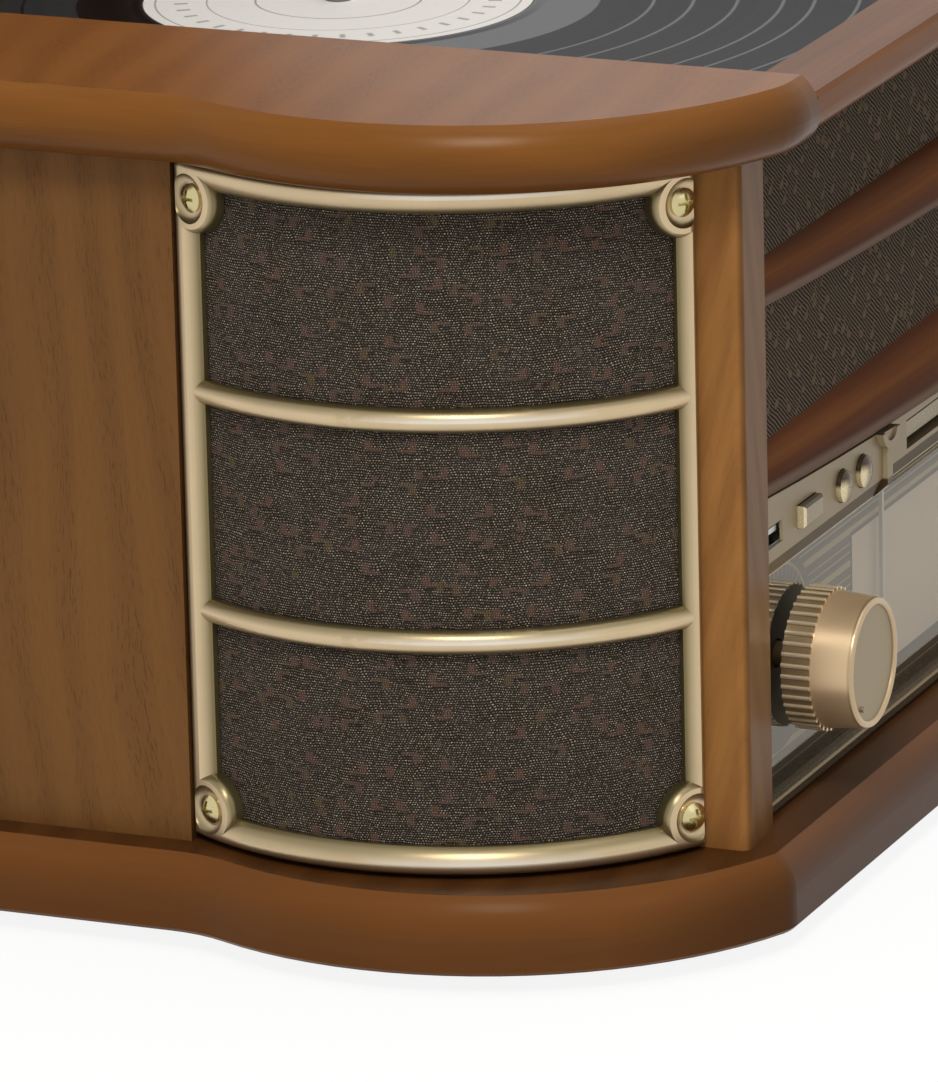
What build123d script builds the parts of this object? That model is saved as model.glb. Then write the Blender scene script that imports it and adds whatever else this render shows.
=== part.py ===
from build123d import *
from math import atan2, cos, degrees, radians, sin, sqrt
import os

# Stereo music centre: wooden cabinet with bulged speaker corners, record player on top,
# compact disc drawer, radio dial and two knobs in front.
# Millimetres. Origin on the floor under the middle of the cabinet, +X to the right as seen
# from the front, +Y to the back, +Z up. The lid is modelled open.

# ------------------------------------------------------------------ driving dimensions
# fits
gap = 0.2                # between fixed pieces that are fitted side by side
running = 0.05           # radial clearance of shafts in bores
slip = 0.25              # buttons and drawer in their openings
clear = 0.6              # round parts that pass freely through plates

# cabinet boards
bulge_inset = 15.6       # centre of the round corner, inwards from the turntable well's side
edge_reach = 82.2        # from there out to the straight sides of the top and base boards
top_front = -184.5       # foremost line of the top boards
base_front = -182.0      # foremost line of the base board
rear_y = 180.5
foot_height = 5.0
foot_radius = 11.0
foot_inset = 44.0
foot_spread_y = 270.0
foot_middle_y = 12.0
base_thickness = 19.0
wall_height = 169.0
top_thickness = 17.0
bulge_y = -94.5          # centre of the round speaker corner
bulge_overhang = 10.6    # boards stand out this far over the grille frame
ogee_radius = 35.0       # hollow curve that leads from the straight side into the corner
top_corner_radius = 30.0
base_corner_radius = 12.0

# edge moulding of the boards
nose_inset = 4.6         # from the outermost line to the sharp edge of the flat top
top_nose_drop = 9.0      # flat top down to the outermost line
top_under_radius = 8.0
base_nose_drop = 10.0
base_chamfer = 1.0
nose_depth = 14.0        # width of the moulded strip
core_inset = 10.5        # flat middle of the board starts this far in

# walls
panel_inset = 12.5       # outer face of the side panels, inside the boards' sides
panel_thickness = 12.0
panel_front = -42.0
post_width = 18.6
post_front = -171.2
post_overlap = 11.8      # post reaches this far behind the back of the grille's frame
post_round = 2.5         # rounded outer corner of its front
post_inner_drop = 1.3    # its inner corner lies this far behind the outer one
record_gap = 1.6         # between the record and the side of its well
well_rear = 161.5
well_wall = 9.0
ledge_width = 8.0        # ledge that carries the deck plate
back_thickness = 6.0
vent_length = 26.0
vent_width = 4.0
vent_pitch = 10.0
vent_z = 120.0

# rails and bars across the front
rail_drop = 4.0          # rail top under the top of the side boards
rail_thickness = 10.5
rail_front = -184.0
rail_edge = 0.9          # bevel along the top edge
rail_round = 5.0         # rounded lower edge
cloth_back = -165.0      # cloth-covered board
cloth_thickness = 3.0
bar_depth_end = 1.7      # half-round bars stand out this far at the posts
bar_depth_middle = 6.0   # and this far in the middle
upper_bar_end = (151.9, 164.2)
upper_bar_middle = (146.6, 164.5)
lower_bar_end = (105.2, 119.0)
lower_bar_middle = (99.0, 121.3)

# speaker grille
grille_shift = 1.4       # centre of the grille's curve, inwards from the boards' centre
grille_y = -87.3
grille_radius = 79.1     # back of the frame
frame_depth = 4.1
frame_border = 6.8       # width of the outer borders
frame_bar = 5.8          # width of the crossbars
frame_side = 6.1         # width of the upright borders
frame_ridge = 2.9        # from the outer edge to the ridge
frame_lip = 1.3          # thickness at the inner edges
frame_round = 2.6
frame_swell = 0.65       # the bars' slopes bulge by this much
bar_low = 0.7            # crossbars are this much lower than the border
frame_bottom = 24.9
frame_top = 192.6
crossbar_low_z = 82.0
crossbar_high_z = 135.9
boss_radius = 8.7
boss_bead = 1.9          # from the boss's edge to its ridge
boss_crown = 0.3         # its round edge would end this far above the frame
dish_radius = 6.1
dish_depth = 1.5
screw_inset = 5.2
screw_low_z = 32.8
screw_high_z = 183.3
screw_radius = 1.5
screw_head_radius = 3.5
screw_head_side = 0.6
screw_head_height = 1.9
screw_length = 13.0
screw_slot = 0.8
screw_cross = 4.4
cloth_skin = 0.8
baffle_thickness = 10.0
rib_height = 12.0
speaker_radius = 51.0
basket_radius = 44.0
basket_depth = 24.0
magnet_radius = 24.0
magnet_depth = 14.0
speaker_flange = 3.0
basket_rim = 7.0
cone_depth = 13.0
cap_radius = 14.0
cap_rise = 4.5
speaker_z = 88.0

# control strip
strip_front = -168.5     # raised side parts
strip_centre_front = -166.5
strip_back = -163.0
strip_bottom = 83.2
strip_edge = 88.7        # lower edge of the front faces, above the bevel
strip_bevel = 3.0
strip_flange_top = 111.0
rib_x = 95.0             # upright rib between side and centre parts
rib_width = 3.6
rib_rise = 1.2
boss_z = 102.3
boss_rim_radius = 6.3
boss_rise = 1.8
boss_disc_radius = 4.3
boss_disc_depth = 0.7
first_button = 0.198     # shares of the strip from the rib to the post
button_pitch = 0.165
power_share = 0.6517
round_button_radius = 4.0
round_button_z = 94.5
round_button_rise = 1.2
round_button_dome = 1.1
power_z = 95.0
power_width = 12.2
power_height = 5.4
power_rise = 2.2
button_rear = -157.4
button_travel = 1.2
drawer_z = 93.5
drawer_height = 5.6
drawer_half = 73.6
drawer_inset = 1.6       # drawer front behind the strip's centre part
drawer_length = 150.0
drawer_travel = 128.0
disc_radius = 61.0
small_disc_radius = 41.0
disc_well_depth = 1.4
drawer_slot = 32.0
recess_half = 75.0
recess_height = 7.4
usb_inset = 12.8
usb_width = 11.6
usb_height = 5.4
usb_z = 94.7
usb_depth = 11.5
usb_wall = 0.5

# CD loader and boards inside
loader_half = 80.0
loader_bottom = 84.6
loader_top = 108.0
loader_rear = 16.0
loader_wall = 2.0
leg_size = 8.0
board_thickness = 1.6
board_width = 260.0
board_depth = 100.0
board_y = 90.0
board_lift = 14.0        # main board over the base
stand_radius = 3.0
stand_inset = 8.0
transformer_spot = (-82.5, 85.0)
transformer_size = (55.0, 50.0, 40.0)
sink_spot = (55.0, 116.0)
sink_size = (70.0, 12.0, 28.0)
button_board_front = -155.4

# dial
window_front = -165.0
window_thickness = 2.0
plate_front = -159.5
plate_thickness = 1.5
plate_top = 80.0
dial_bottom = 27.5
trim_bottom = 25.3
trim_front = -167.2
trim_drop = 1.7          # lower step of the trim behind its lip
knob_inset = 31.1        # knob's axis from the side of the well
knob_z = 57.6
knob_back = -167.0
knob_length = 17.7
knob_skirt_radius = 17.0
knob_face_radius = 15.9
knob_rim = 1.9
knob_recess = 0.8
knob_rib_count = 40
knob_rib_radius = 0.55
knob_rib_length = 7.2
marker_radius = 0.7
marker_distance = 12.3
marker_angle = 231.0
shaft_radius = 3.0
control_radius = 12.0
control_depth = 11.0
pointer_width = 1.2
pointer_thickness = 1.0
pointer_front = -162.0
pointer_bottom = 31.0
pointer_travel = 80.0    # to each side of the middle
carrier_width = 8.0
carrier_thickness = 2.5
carrier_drop = 12.0

# record player
turntable_x = -25.0
turntable_y = 5.5
record_top = 180.0
record_radius = 150.8
record_thickness = 1.8
record_groove_drop = 0.25
label_radius = 50.0
mat_inset = 2.0          # inside the platter's edge
mat_thickness = 2.2
platter_inset = 10.8     # inside the record's edge
platter_height = 13.0
platter_web = 4.0
hub_radius = 14.0
spindle_radius = 3.57
spindle_rise = 8.5
deck_thickness = 3.0
deck_top = 155.0
motor_radius = 32.0
motor_height = 30.0
arm_inset = 37.4         # arm's pivot from the side of the well
arm_y = 90.5
arm_z = 192.0
arm_length = 198.0
tube_radius = 3.6
arm_base_radius = 21.0
arm_base_height = 6.0
pillar_radius = 11.0
pillar_height = 14.0
shaft_depth = 16.0
pivot_block = (14.0, 14.0, 10.0)
weight_offset = 18.0     # counterweight's front end behind the pivot
shell_length = 30.0      # headshell plate
shell_width = 17.0
shell_round = 4.0
shell_thickness = 2.0
shell_front = 7.0        # plate in front of the stylus
shell_collar = 9.0       # its socket for the tube
finger_length = 9.0
finger_width = 2.0
yoke_gap = 17.0          # between the cheeks
yoke_cheek = 3.0
pivot_radius = 1.6
counterweight_radius = 12.0
counterweight_length = 20.0
cartridge_width = 14.0
cartridge_length = 15.0
stylus_height = 2.6
stylus_width = 2.0
rest_y = -60.0
rest_depth = 6.0
rest_lip = 5.0
lever_offset = 26.0      # from the arm's pivot, sideways
lever_y = 66.0
lever_z = 163.5
lever_gap = 4.0          # from the lever's middle to its brackets
lever_cheek = 2.0
lever_hub = 3.0
lever_bar = 3.0
lever_reach = 26.0
lever_pad = (8.0, 10.0)
switch_offset = 10.0
switch_y = -142.0
switch_travel = 8.0
switch_size = 10.0
switch_height = 4.0
switch_pitch = 3.0
switch_ridge = 0.8
switch_stem = 4.0
switch_play = 0.5

# lid
lid_lap = 21.6           # lid over the side boards
lid_front = -181.0
lid_rear = 167.5
lid_thickness = 19.0
lid_skin = 5.0
lid_round = 7.0
lid_clear = 0.3          # lid above the side boards when shut
lid_angle = 65.0         # open angle
hinge_y = 171.0
hinge_rise = 2.15        # hinge axis above the rail
hinge_x = 120.0
hinge_width = 30.0
hinge_middle = 10.0
leaf = 1.2
knuckle_radius = 2.0
pin_radius = 1.0

# rear sockets
socket_half = 60.0
socket_z = 60.0
socket_height = 34.0
socket_plate = 2.0
inlet_x = 36.0
inlet_width = 20.0
inlet_height = 14.0
inlet_depth = 17.0
inlet_rise = 3.0         # inlet and its wall stand out this far
inlet_wall = 3.5
inlet_pin_spread = 8.6
inlet_pin_radius = 1.2
inlet_pin_length = 15.0
phono_x = (-34.0, -16.0)
phono_radius = 4.2
phono_rise = 5.0
phono_length = 15.0
phono_wall = 1.0
phono_groove = 1.6
phono_depth = 7.0

# ------------------------------------------------------------------ widths that follow
well_half = record_radius - turntable_x + record_gap
platter_radius = record_radius - platter_inset
mat_radius = platter_radius - mat_inset
bulge_x = well_half - bulge_inset
edge_x = bulge_x + edge_reach
panel_x = edge_x - panel_inset
post_outer = well_half + post_width
grille_x = bulge_x - grille_shift
ridge_radius = grille_radius + frame_depth
bulge_radius = ridge_radius + bulge_overhang
post_rear = grille_y - grille_radius + post_overlap
lid_half = well_half + lid_lap
foot_spread_x = 2 * (edge_x - foot_inset)
knob_x = well_half - knob_inset
button_span = well_half - rib_x
button_rows = [rib_x + button_span * (first_button + step * button_pitch) for step in range(4)]
round_button_x = (-button_rows[1], -button_rows[0], *button_rows)
power_x = -(rib_x + button_span * power_share)
usb_outer = well_half - usb_inset
arm_x = well_half - arm_inset
lever_x = arm_x + lever_offset
switch_x = arm_x + switch_offset

# ------------------------------------------------------------------ derived levels
base_z = foot_height
floor_z = base_z + base_thickness
ceiling_z = floor_z + wall_height
top_z = ceiling_z + top_thickness
rail_top = top_z - rail_drop
rail_bottom = rail_top - rail_thickness
inner_half = well_half - gap
cloth_front = cloth_back - cloth_thickness
deck_bottom = deck_top - deck_thickness
mat_top = record_top - record_thickness
platter_top = mat_top - mat_thickness
platter_bottom = platter_top - platter_height
hinge_z = rail_top + hinge_rise
sides = {"left": -1, "right": 1}


def save(piece, name):
    piece.part.label = name
    export_step(piece.part, f"parts/{name}.step")


def block(x_range, y_range, z_range, mode=Mode.ADD):
    """Rectangular block between three pairs of coordinates."""
    low, high = zip(x_range, y_range, z_range)
    middle = tuple((a + b) / 2 for a, b in zip(low, high))
    size = tuple(abs(b - a) for a, b in zip(low, high))
    with Locations(middle):
        Box(*size, mode=mode)


def dome(radius, base, rise):
    """Three points of a shallow dome's section, from its edge to its top on the axis."""
    sphere = (radius ** 2 + rise ** 2) / (2 * rise)
    half = radius / 2
    shoulder = base + rise - sphere + sqrt(sphere ** 2 - half ** 2)
    return (radius, base), (half, shoulder), (0, base + rise)


def front_plane(y):
    """Sketch plane seen from the front: X to the right, Z up, extrusions come forwards."""
    return Plane(origin=(0, y, 0), x_dir=(1, 0, 0), z_dir=(0, -1, 0))


def side_plane(x):
    """Sketch plane whose axes are Y and Z, extrusions run along +X."""
    return Plane(origin=(x, 0, 0), x_dir=(0, 1, 0), z_dir=(1, 0, 0))


os.makedirs("parts", exist_ok=True)



# ------------------------------------------------------------------ curved cabinet boards
def outline_points(inset, front, corner_radius):
    """Junctions of a board's edge line, moved inwards by inset, on the right side."""
    side_x = edge_x - inset
    radius = bulge_radius - inset
    hollow = ogee_radius + inset
    corner = corner_radius - inset
    front_line = front + inset
    reach = radius + hollow
    hollow_y = bulge_y + sqrt(reach ** 2 - (side_x + hollow - bulge_x) ** 2)
    share = radius / reach
    hollow_end = (bulge_x + share * (side_x + hollow - bulge_x),
                  bulge_y + share * (hollow_y - bulge_y))
    inner = radius - corner
    corner_y = front_line + corner
    corner_x = bulge_x + sqrt(inner ** 2 - (corner_y - bulge_y) ** 2)
    share = radius / inner
    corner_start = (bulge_x + share * (corner_x - bulge_x),
                    bulge_y + share * (corner_y - bulge_y))
    return (side_x, hollow_y), hollow_end, corner_start, (corner_x, front_line)


def edge_line(side, inset, front, corner_radius, end_x):
    """Tangent line from the back corner round the speaker bulge to the front at end_x."""
    start, hollow_end, corner_start, corner_end = outline_points(inset, front, corner_radius)
    straight = Line((side * start[0], rear_y), (side * start[0], start[1]))
    hollow = TangentArc(straight @ 1, (side * hollow_end[0], hollow_end[1]),
                        tangent=straight % 1)
    bulge = TangentArc(hollow @ 1, (side * corner_start[0], corner_start[1]),
                       tangent=hollow % 1)
    corner = TangentArc(bulge @ 1, (side * corner_end[0], corner_end[1]), tangent=bulge % 1)
    Line(corner @ 1, (side * end_x, corner_end[1]))


def nose_plane(side):
    return Plane(origin=(side * edge_x, rear_y, 0), x_dir=(-side, 0, 0), z_dir=(0, side, 0))


def arc_bulge(span, rise):
    """Middle point of an arc that starts upright and reaches span inwards over rise."""
    radius = (span ** 2 + rise ** 2) / (2 * span)
    half = atan2(rise, radius - span) / 2
    return radius - radius * cos(half), radius * sin(half)


def top_board(side):
    """Side board of the top: flat, with a rounded edge that follows the speaker bulge."""
    nose_z = top_z - top_nose_drop
    mid_in, mid_up = arc_bulge(nose_inset, top_nose_drop)
    low = top_under_radius * (1 - cos(radians(45)))
    with BuildPart() as board:
        with BuildLine() as path:
            edge_line(side, 0, top_front, top_corner_radius, well_half)
        with BuildSketch(nose_plane(side)):
            with BuildLine():
                ThreePointArc((nose_inset, top_z), (mid_in, nose_z + mid_up), (0, nose_z))
                ThreePointArc((0, nose_z), (low, ceiling_z + low), (top_under_radius, ceiling_z))
                Line((top_under_radius, ceiling_z), (nose_depth, ceiling_z))
                Line((nose_depth, ceiling_z), (nose_depth, top_z))
                Line((nose_depth, top_z), (nose_inset, top_z))
            make_face()
        sweep(path=path.wires()[0])
        with BuildSketch(Plane.XY.offset(ceiling_z)):
            with BuildLine():
                edge_line(side, core_inset, top_front, top_corner_radius, well_half)
                Polyline((side * well_half, top_front + core_inset), (side * well_half, rear_y),
                         (side * (edge_x - core_inset), rear_y))
            make_face()
        extrude(amount=top_thickness)
    return board


for name, side in sides.items():
    save(top_board(side), f"top_board_{name}")

# base board: one piece right across, upright below and rounded above
with BuildPart() as base:
    base_nose_z = floor_z - base_nose_drop
    mid_in, mid_up = arc_bulge(nose_inset, base_nose_drop)
    for side in sides.values():
        with BuildLine() as path:
            edge_line(side, 0, base_front, base_corner_radius, 0)
        with BuildSketch(nose_plane(side)):
            with BuildLine():
                ThreePointArc((nose_inset, floor_z), (mid_in, base_nose_z + mid_up),
                              (0, base_nose_z))
                Polyline((0, base_nose_z), (0, base_z + base_chamfer), (base_chamfer, base_z),
                         (nose_depth, base_z), (nose_depth, floor_z), (nose_inset, floor_z))
            make_face()
        sweep(path=path.wires()[0])
        with BuildSketch(Plane.XY.offset(base_z)):
            with BuildLine():
                edge_line(side, core_inset, base_front, base_corner_radius, 0)
                Polyline((0, base_front + core_inset), (0, rear_y),
                         (side * (edge_x - core_inset), rear_y))
            make_face()
        extrude(amount=base_thickness)
save(base, "base_plinth")

# four rubber feet, slightly tapered
with BuildPart() as feet:
    with BuildSketch(Plane((0, foot_middle_y, foot_height), z_dir=(0, 0, -1))):
        with GridLocations(foot_spread_x, foot_spread_y, 2, 2):
            Circle(foot_radius)
    extrude(amount=foot_height, taper=14)
save(feet, "feet")


# ------------------------------------------------------------------ walls and posts
def side_panel(side):
    with BuildPart() as panel:
        block((side * (panel_x - panel_thickness), side * panel_x), (panel_front, rear_y),
              (floor_z, ceiling_z))
    return panel


def well_side(side):
    """Side wall of the turntable well with the ledge that carries the deck plate."""
    ledge_z = deck_bottom - ledge_width
    with BuildPart() as wall:
        with BuildSketch(front_plane(rear_y - back_thickness)):
            with BuildLine():
                Polyline((side * well_half, ceiling_z), (side * (well_half + well_wall), ceiling_z),
                         (side * (well_half + well_wall), ledge_z),
                         (side * (well_half - ledge_width), ledge_z),
                         (side * (well_half - ledge_width), deck_bottom),
                         (side * well_half, deck_bottom), close=True)
            make_face()
        extrude(amount=rear_y - back_thickness - post_rear)
    return wall


def post(side):
    """Upright between speaker and front, with a flat front and a rounded outer corner."""
    with BuildPart() as upright:
        with BuildSketch(Plane.XY.offset(floor_z)):
            with BuildLine():
                Polyline((side * post_outer, post_front),
                         (side * well_half, post_front + post_inner_drop),
                         (side * well_half, post_rear), (side * post_outer, post_rear), close=True)
            make_face()
        extrude(amount=wall_height)
        outer_corner = upright.edges().filter_by(Axis.Z).sort_by(Axis.Y)[0]
        fillet(outer_corner, radius=post_round)
    return upright


for name, side in sides.items():
    save(side_panel(side), f"side_panel_{name}")
    save(well_side(side), f"well_side_{name}")
    save(post(side), f"post_{name}")

# back panel with vent slots and the opening for the sockets
with BuildPart() as back:
    panel_inside = panel_x - panel_thickness
    block((-panel_inside, panel_inside), (rear_y - back_thickness, rear_y), (floor_z, ceiling_z))
    with BuildSketch(front_plane(rear_y)):
        with Locations((0, vent_z)):
            with GridLocations(vent_length * 1.5, vent_pitch, 6, 5):
                SlotOverall(vent_length, vent_width)
        with Locations((0, socket_z)):
            Rectangle(2 * socket_half - 16, socket_height - 10)
    extrude(amount=back_thickness, mode=Mode.SUBTRACT)
save(back, "back_panel")

# ------------------------------------------------------------------ rails, cloth board, bars
with BuildPart() as front_rail:
    with BuildSketch(side_plane(-inner_half)):
        with BuildLine():
            nose = Polyline((rail_front + rail_round, rail_bottom), (cloth_back, rail_bottom),
                            (cloth_back, rail_top), (rail_front + rail_edge, rail_top),
                            (rail_front, rail_top - 1.6 * rail_edge),
                            (rail_front, rail_bottom + rail_round))
            RadiusArc(nose @ 1, nose @ 0, -rail_round)
        make_face()
    extrude(amount=2 * inner_half)
save(front_rail, "front_rail")

with BuildPart() as rear_rail:
    block((-inner_half, inner_half), (well_rear, rear_y), (ceiling_z, rail_top))
    block((-inner_half, inner_half), (well_rear, well_rear + back_thickness),
          (deck_top, ceiling_z))
save(rear_rail, "rear_rail")

with BuildPart() as cloth_board:
    block((-inner_half, inner_half), (cloth_front, cloth_back), (lower_bar_end[0], rail_bottom))
save(cloth_board, "cloth_board")


def along(end, middle, x):
    """Value at x of a shallow parabola between the middle of the front and its ends."""
    return middle + (end - middle) * (x / inner_half) ** 2


def bowed_bar(end, middle):
    """Half-round bar across the cloth, deeper and higher in the middle."""
    with BuildPart() as bar:
        for step in range(-3, 4):
            x = inner_half * step / 3
            low = along(end[0], middle[0], x)
            high = along(end[1], middle[1], x)
            depth = along(bar_depth_end, bar_depth_middle, x)
            with BuildSketch(side_plane(x)):
                with BuildLine():
                    ThreePointArc((cloth_front, low), (cloth_front - depth, (low + high) / 2),
                                  (cloth_front, high))
                    Line((cloth_front, high), (cloth_front, low))
                make_face()
        loft()
    return bar


save(bowed_bar(upper_bar_end, upper_bar_middle), "front_bar_upper")
save(bowed_bar(lower_bar_end, lower_bar_middle), "front_bar_lower")


# ------------------------------------------------------------------ speaker corners
rear_end_y = panel_front - gap
front_end_x = post_outer + gap
rear_angle = degrees(atan2(rear_end_y - grille_y,
                           sqrt(ridge_radius ** 2 - (rear_end_y - grille_y) ** 2)))
front_angle = -degrees(atan2(sqrt(ridge_radius ** 2 - (front_end_x - grille_x) ** 2),
                             front_end_x - grille_x))
middle_angle = (rear_angle + front_angle) / 2
lip_radius = grille_radius + frame_lip


def round_point(side, radius, angle):
    return (side * (grille_x + radius * cos(radians(angle))),
            grille_y + radius * sin(radians(angle)))


def curved_ends(side, radius):
    """Ends of an arc about the grille's centre, at the side panel and at the post."""
    rear = (side * (grille_x + sqrt(radius ** 2 - (rear_end_y - grille_y) ** 2)), rear_end_y)
    front = (side * front_end_x, grille_y - sqrt(radius ** 2 - (front_end_x - grille_x) ** 2))
    return rear, front


def curved_slab(side, inner, outer, bottom, top):
    """Upright curved plate between the side panel and the post."""
    outer_rear, outer_front = curved_ends(side, outer)
    inner_rear, inner_front = curved_ends(side, inner)
    with BuildPart() as slab:
        with BuildSketch(Plane.XY.offset(bottom)):
            with BuildLine():
                ThreePointArc(outer_rear, round_point(side, outer, middle_angle), outer_front)
                Line(outer_front, inner_front)
                ThreePointArc(inner_front, round_point(side, inner, middle_angle), inner_rear)
                Line(inner_rear, outer_rear)
            make_face()
        extrude(amount=top - bottom)
    return slab


def screw_spots():
    """Angle and height of the four grille screws."""
    inset = degrees(screw_inset / grille_radius)
    return [(angle, z) for angle in (rear_angle - inset, front_angle + inset)
            for z in (screw_low_z, screw_high_z)]


def spot_plane(side, angle, z):
    """Plane through the grille's axis, facing outwards through a screw."""
    direction = (side * cos(radians(angle)), sin(radians(angle)), 0)
    return Plane(origin=(side * grille_x, grille_y, z), z_dir=direction)


def spot_section(side, angle, z):
    """Plane that holds a screw's axis: local Y runs outwards, local X is vertical."""
    direction = (side * cos(radians(angle)), sin(radians(angle)), 0)
    return Plane(origin=(side * grille_x, grille_y, z), x_dir=(0, 0, 1),
                 z_dir=(-direction[1], direction[0], 0))


def screw_holes(side, radius, deep, far):
    """Cuts the four screw holes in the current part."""
    for angle, z in screw_spots():
        with Locations(spot_plane(side, angle, z).offset((deep + far) / 2)):
            Cylinder(radius, far - deep, mode=Mode.SUBTRACT)


def window_levels():
    """Edges and ridges, from below and from above, of the three openings."""
    low_edges = (frame_bottom + frame_border, crossbar_low_z + frame_bar / 2,
                 crossbar_high_z + frame_bar / 2)
    high_edges = (crossbar_low_z - frame_bar / 2, crossbar_high_z - frame_bar / 2,
                  frame_top - frame_border)
    low_ridges = (frame_bottom + frame_ridge, crossbar_low_z, crossbar_high_z)
    high_ridges = (crossbar_low_z, crossbar_high_z, frame_top - frame_ridge)
    bar_radius = ridge_radius - bar_low
    low_tops = (ridge_radius, bar_radius, bar_radius)
    high_tops = (bar_radius, bar_radius, ridge_radius)
    return zip(low_edges, high_edges, low_ridges, high_ridges, low_tops, high_tops)


def screw_boss(side, angle, z):
    """Space of a round boss, rounded from its ridge down to its edge."""
    back = grille_radius - frame_depth
    bead = boss_radius - boss_bead
    crown = ridge_radius + boss_crown
    shoulder = (boss_radius - boss_bead / 4, ridge_radius - (frame_depth - frame_lip) / 3)
    with BuildPart() as boss:
        with BuildSketch(spot_section(side, angle, z)):
            with BuildLine():
                Polyline((0, back), (boss_radius, back), (boss_radius, lip_radius))
                ThreePointArc((boss_radius, lip_radius), shoulder, (bead, crown))
                Polyline((bead, crown), (bead, crown + frame_depth), (0, crown + frame_depth),
                         (0, back))
            make_face()
        direction = (side * cos(radians(angle)), sin(radians(angle)), 0)
        revolve(axis=Axis((side * grille_x, grille_y, z), direction))
    return boss


def window_cutter(side):
    """Solid that opens the three windows of the grille frame and shapes its bars."""
    edge_turn = degrees(frame_side / grille_radius)
    ridge_turn = degrees(frame_ridge / grille_radius)
    swell_radius = (ridge_radius + lip_radius) / 2 + frame_swell
    swell_turn = (edge_turn + ridge_turn) / 2
    rear = [(ridge_radius, rear_angle - ridge_turn), (swell_radius, rear_angle - swell_turn),
            (lip_radius, rear_angle - edge_turn)]
    front = [(ridge_radius, front_angle + ridge_turn), (swell_radius, front_angle + swell_turn),
             (lip_radius, front_angle + edge_turn)]
    far = ridge_radius + 1
    near = grille_radius - 1
    bosses = [screw_boss(side, angle, z) for angle, z in screw_spots()]
    with BuildPart() as cutter:
        with BuildSketch(Plane.XY.offset(frame_bottom)):
            with BuildLine():
                ThreePointArc(*(round_point(side, *at) for at in rear))
                Line(round_point(side, *rear[2]), round_point(side, near, rear[2][1]))
                ThreePointArc(round_point(side, near, rear[2][1]),
                              round_point(side, near, middle_angle),
                              round_point(side, near, front[2][1]))
                Line(round_point(side, near, front[2][1]), round_point(side, *front[2]))
                ThreePointArc(*(round_point(side, *at) for at in reversed(front)))
                Line(round_point(side, *front[0]), round_point(side, far, front[0][1]))
                ThreePointArc(round_point(side, far, front[0][1]),
                              round_point(side, far, middle_angle),
                              round_point(side, far, rear[0][1]))
                Line(round_point(side, far, rear[0][1]), round_point(side, *rear[0]))
            make_face()
        extrude(amount=frame_top - frame_bottom)
        with BuildSketch(Plane(origin=(side * grille_x, grille_y, 0), x_dir=(side, 0, 0),
                               z_dir=(0, -side, 0))):
            for low, high, low_ridge, high_ridge, low_top, high_top in window_levels():
                low_swell = ((low_top + lip_radius) / 2 + frame_swell, (low + low_ridge) / 2)
                high_swell = ((high_top + lip_radius) / 2 + frame_swell,
                              (high + high_ridge) / 2)
                with BuildLine():
                    ThreePointArc((low_top, low_ridge), low_swell, (lip_radius, low))
                    Polyline((lip_radius, low), (near, low), (near, high), (lip_radius, high))
                    ThreePointArc((lip_radius, high), high_swell, (high_top, high_ridge))
                    Polyline((high_top, high_ridge), (far, high_ridge), (far, low_ridge),
                             (low_top, low_ridge))
                make_face()
        revolve(axis=Axis((side * grille_x, grille_y, 0), (0, 0, 1)), mode=Mode.INTERSECT)
        for boss in bosses:
            add(boss.part, mode=Mode.SUBTRACT)
    return cutter


def screw_dish(side, angle, z):
    """Shallow dish in a boss, flat where the screw seats."""
    floor = ridge_radius - dish_depth
    seat = screw_head_radius + 0.5
    mouth = (dish_radius, ridge_radius + 0.1)
    with BuildPart() as dish:
        with BuildSketch(spot_section(side, angle, z)):
            with BuildLine():
                Line((0, floor), (seat, floor))
                ThreePointArc((seat, floor), ((seat + dish_radius) / 2 + 0.2, floor + dish_depth / 3),
                              mouth)
                Polyline(mouth, (dish_radius, ridge_radius + frame_depth),
                         (0, ridge_radius + frame_depth), (0, floor))
            make_face()
        direction = (side * cos(radians(angle)), sin(radians(angle)), 0)
        revolve(axis=Axis((side * grille_x, grille_y, z), direction))
    return dish


def grille_frame(side):
    slab = curved_slab(side, grille_radius, ridge_radius, frame_bottom, frame_top)
    cutter = window_cutter(side)
    dishes = [screw_dish(side, angle, z) for angle, z in screw_spots()]
    with BuildPart() as frame:
        add(slab.part)
        outer_face = frame.faces().filter_by(GeomType.CYLINDER).sort_by(SortBy.AREA)[-1]
        fillet(outer_face.edges(), radius=frame_round)
        add(cutter.part, mode=Mode.SUBTRACT)
        for dish in dishes:
            add(dish.part, mode=Mode.SUBTRACT)
        screw_holes(side, screw_radius + running, grille_radius - 2, ridge_radius + 1)
    return frame


def grille_cloth(side):
    inner = grille_radius - gap - cloth_skin
    cloth = curved_slab(side, inner, grille_radius - gap, frame_bottom + gap, frame_top - gap)
    with BuildPart() as skin:
        add(cloth.part)
        screw_holes(side, screw_radius + running, inner - 1, grille_radius + 1)
    return skin


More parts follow.
